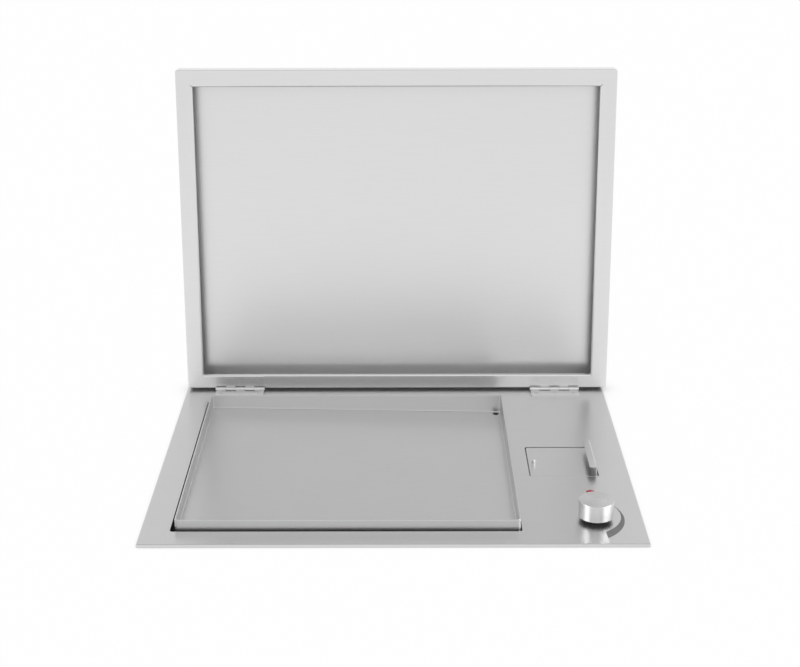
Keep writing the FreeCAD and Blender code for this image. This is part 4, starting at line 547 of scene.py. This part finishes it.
def white_room():
    """Studio that shows white to the camera and graded white in the steel."""
    world = bpy.data.worlds.new("white_room")
    bpy.context.scene.world = world
    world.use_nodes = True
    tree = world.node_tree
    tree.nodes.clear()
    path = add(tree, "LightPath").outputs
    way = add(tree, "SeparateXYZ", {0: add(tree, "TexCoord").outputs["Generated"]}).outputs
    steep = add(tree, "Math", {0: way["Z"], 1: way["Z"]}, operation="MULTIPLY").outputs[0]
    overhead = add(tree, "MapRange", {0: steep, 3: 1.0, 4: CEILING}).outputs[0]
    lean = add(tree, "Math", {0: way["Z"], 1: FRONT_RISE, 2: way["Y"]}, operation="MULTIPLY_ADD").outputs[0]
    front = add(tree, "MapRange", {0: lean, 1: FRONT_FROM, 2: FRONT_TO, 3: FRONT, 4: 1.0}).outputs[0]
    sideways = add(tree, "Math", {0: way["X"], 1: way["X"]}, operation="MULTIPLY").outputs[0]
    sides = add(tree, "MapRange", {0: sideways, 3: 1.0, 4: SIDES}).outputs[0]
    mirrored = add(tree, "Math", {0: overhead, 1: front}, operation="MULTIPLY").outputs[0]
    mirrored = add(tree, "Math", {0: mirrored, 1: sides}, operation="MULTIPLY").outputs[0]
    glossy, through = path["Is Glossy Ray"], path["Is Transmission Ray"]
    glossy = add(tree, "Math", {0: glossy, 1: through}, operation="MAXIMUM").outputs[0]
    level = add(tree, "Mix", {0: glossy, 2: ROOM_LIGHT, 3: mirrored}, data_type="FLOAT").outputs[0]
    level = add(tree, "Mix", {0: path["Is Camera Ray"], 2: level, 3: 1.0}, data_type="FLOAT").outputs[0]
    shell = add(tree, "Background", {"Color": (1, 1, 1, 1), "Strength": level}).outputs[0]
    add(tree, "OutputWorld", {"Surface": shell})


def hang(lamp, place, target, receivers=()):
    """Hang a lamp that faces a point, for the whole object or for some pieces alone."""
    holder = bpy.data.objects.new(lamp.name, lamp)
    bpy.context.scene.collection.objects.link(holder)
    holder.location = place
    holder.rotation_euler = (Vector(target) - Vector(place)).to_track_quat("-Z", "Y").to_euler()
    holder.visible_camera = False
    if receivers:
        lit = bpy.data.collections.new(lamp.name + "_receivers")
        for node in receivers:
            lit.objects.link(nodes[node])
        holder.light_linking.receiver_collection = lit
        holder.light_linking.blocker_collection = lit


def softbox(name, width, height, watts):
    """Rectangular soft lamp."""
    lamp = bpy.data.lights.new(name, "AREA")
    lamp.shape = "RECTANGLE"
    lamp.size = width
    lamp.size_y = height
    lamp.energy = watts
    return lamp


def narrow_beam(name, cone, radius, watts):
    """Spot that fades out towards the edge of its beam."""
    lamp = bpy.data.lights.new(name, "SPOT")
    lamp.spot_size = cone
    lamp.spot_blend = 1.0
    lamp.shadow_soft_size = radius
    lamp.energy = watts
    return lamp


# Lamps: places and what they face, in metres
FRONT_PLACE = (0.4, -3.0, 1.83)
FRONT_AIM = (0, -0.2, 0)
LEFT_STRIP_PLACE = (-1.61, -1.14, 0.25)
RIGHT_STRIP_PLACE = (2.17, -1.14, 0.25)
tray_low, tray_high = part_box("griddle_tray")
CORNER_RISE = 3 * MM
TRAY_CORNER = Vector((tray_high.x, tray_low.y, PANEL_TOP + CORNER_RISE))
BEAM_PLACE = TRAY_CORNER + Vector((1.53, -0.5, 0.06))
BEAM_CONE = math.radians(1.0)
BEAM_RADIUS = 0.02

white_worktop()
white_room()
hang(softbox("softbox_front", width=3.2, height=2.0, watts=7), FRONT_PLACE, FRONT_AIM)
# Low strips at either side give the knob its two bright bands and the stud its glint, for those pieces alone
hang(softbox("knob_strip_left", width=1.2, height=0.4, watts=21),
     LEFT_STRIP_PLACE, KNOB_AXIS, ["control_knob"])
hang(softbox("knob_strip_right", width=2.0, height=0.4, watts=32),
     RIGHT_STRIP_PLACE, KNOB_AXIS, ["control_knob", "cover_stud"])
# A narrow beam puts the glint on the bend of the tray's front right corner
hang(narrow_beam("tray_corner_spot", BEAM_CONE, BEAM_RADIUS, watts=280),
     BEAM_PLACE, TRAY_CORNER, ["griddle_tray"])


# Camera at the photograph's place: its pitch, yaw and roll, and the field of view in an 800 pixel wide frame
CAMERA_PLACE = Vector((0.01412, -2.12797, 1.01264))
CAMERA_PITCH = math.radians(20.87)
CAMERA_YAW = math.radians(0.127)
CAMERA_ROLL = math.radians(-0.138)
FOCAL_PIXELS = 1530.3
FRAME_WIDTH = 800
SENSOR_MM = 36.0
NEAREST = 0.05
FURTHEST = 100


def photo_camera():
    """Camera turned by its yaw and pitch, then rolled."""
    data = bpy.data.cameras.new("photo_camera")
    data.sensor_width = SENSOR_MM
    data.lens = FOCAL_PIXELS / FRAME_WIDTH * SENSOR_MM
    data.clip_start = NEAREST
    data.clip_end = FURTHEST
    level = Vector((-math.sin(CAMERA_YAW), math.cos(CAMERA_YAW), 0))
    right = Vector((math.cos(CAMERA_YAW), math.sin(CAMERA_YAW), 0))
    ahead = level * math.cos(CAMERA_PITCH) - Vector((0, 0, math.sin(CAMERA_PITCH)))
    up = level * math.sin(CAMERA_PITCH) + Vector((0, 0, math.cos(CAMERA_PITCH)))
    rolled_right = right * math.cos(CAMERA_ROLL) + up * math.sin(CAMERA_ROLL)
    rolled_up = up * math.cos(CAMERA_ROLL) - right * math.sin(CAMERA_ROLL)
    turn = Matrix((rolled_right, rolled_up, -ahead)).transposed().to_4x4()
    camera = bpy.data.objects.new("photo_camera", data)
    bpy.context.scene.collection.objects.link(camera)
    camera.matrix_world = Matrix.Translation(CAMERA_PLACE) @ turn
    bpy.context.scene.camera = camera


photo_camera()
bpy.context.scene.view_settings.view_transform = "Standard"
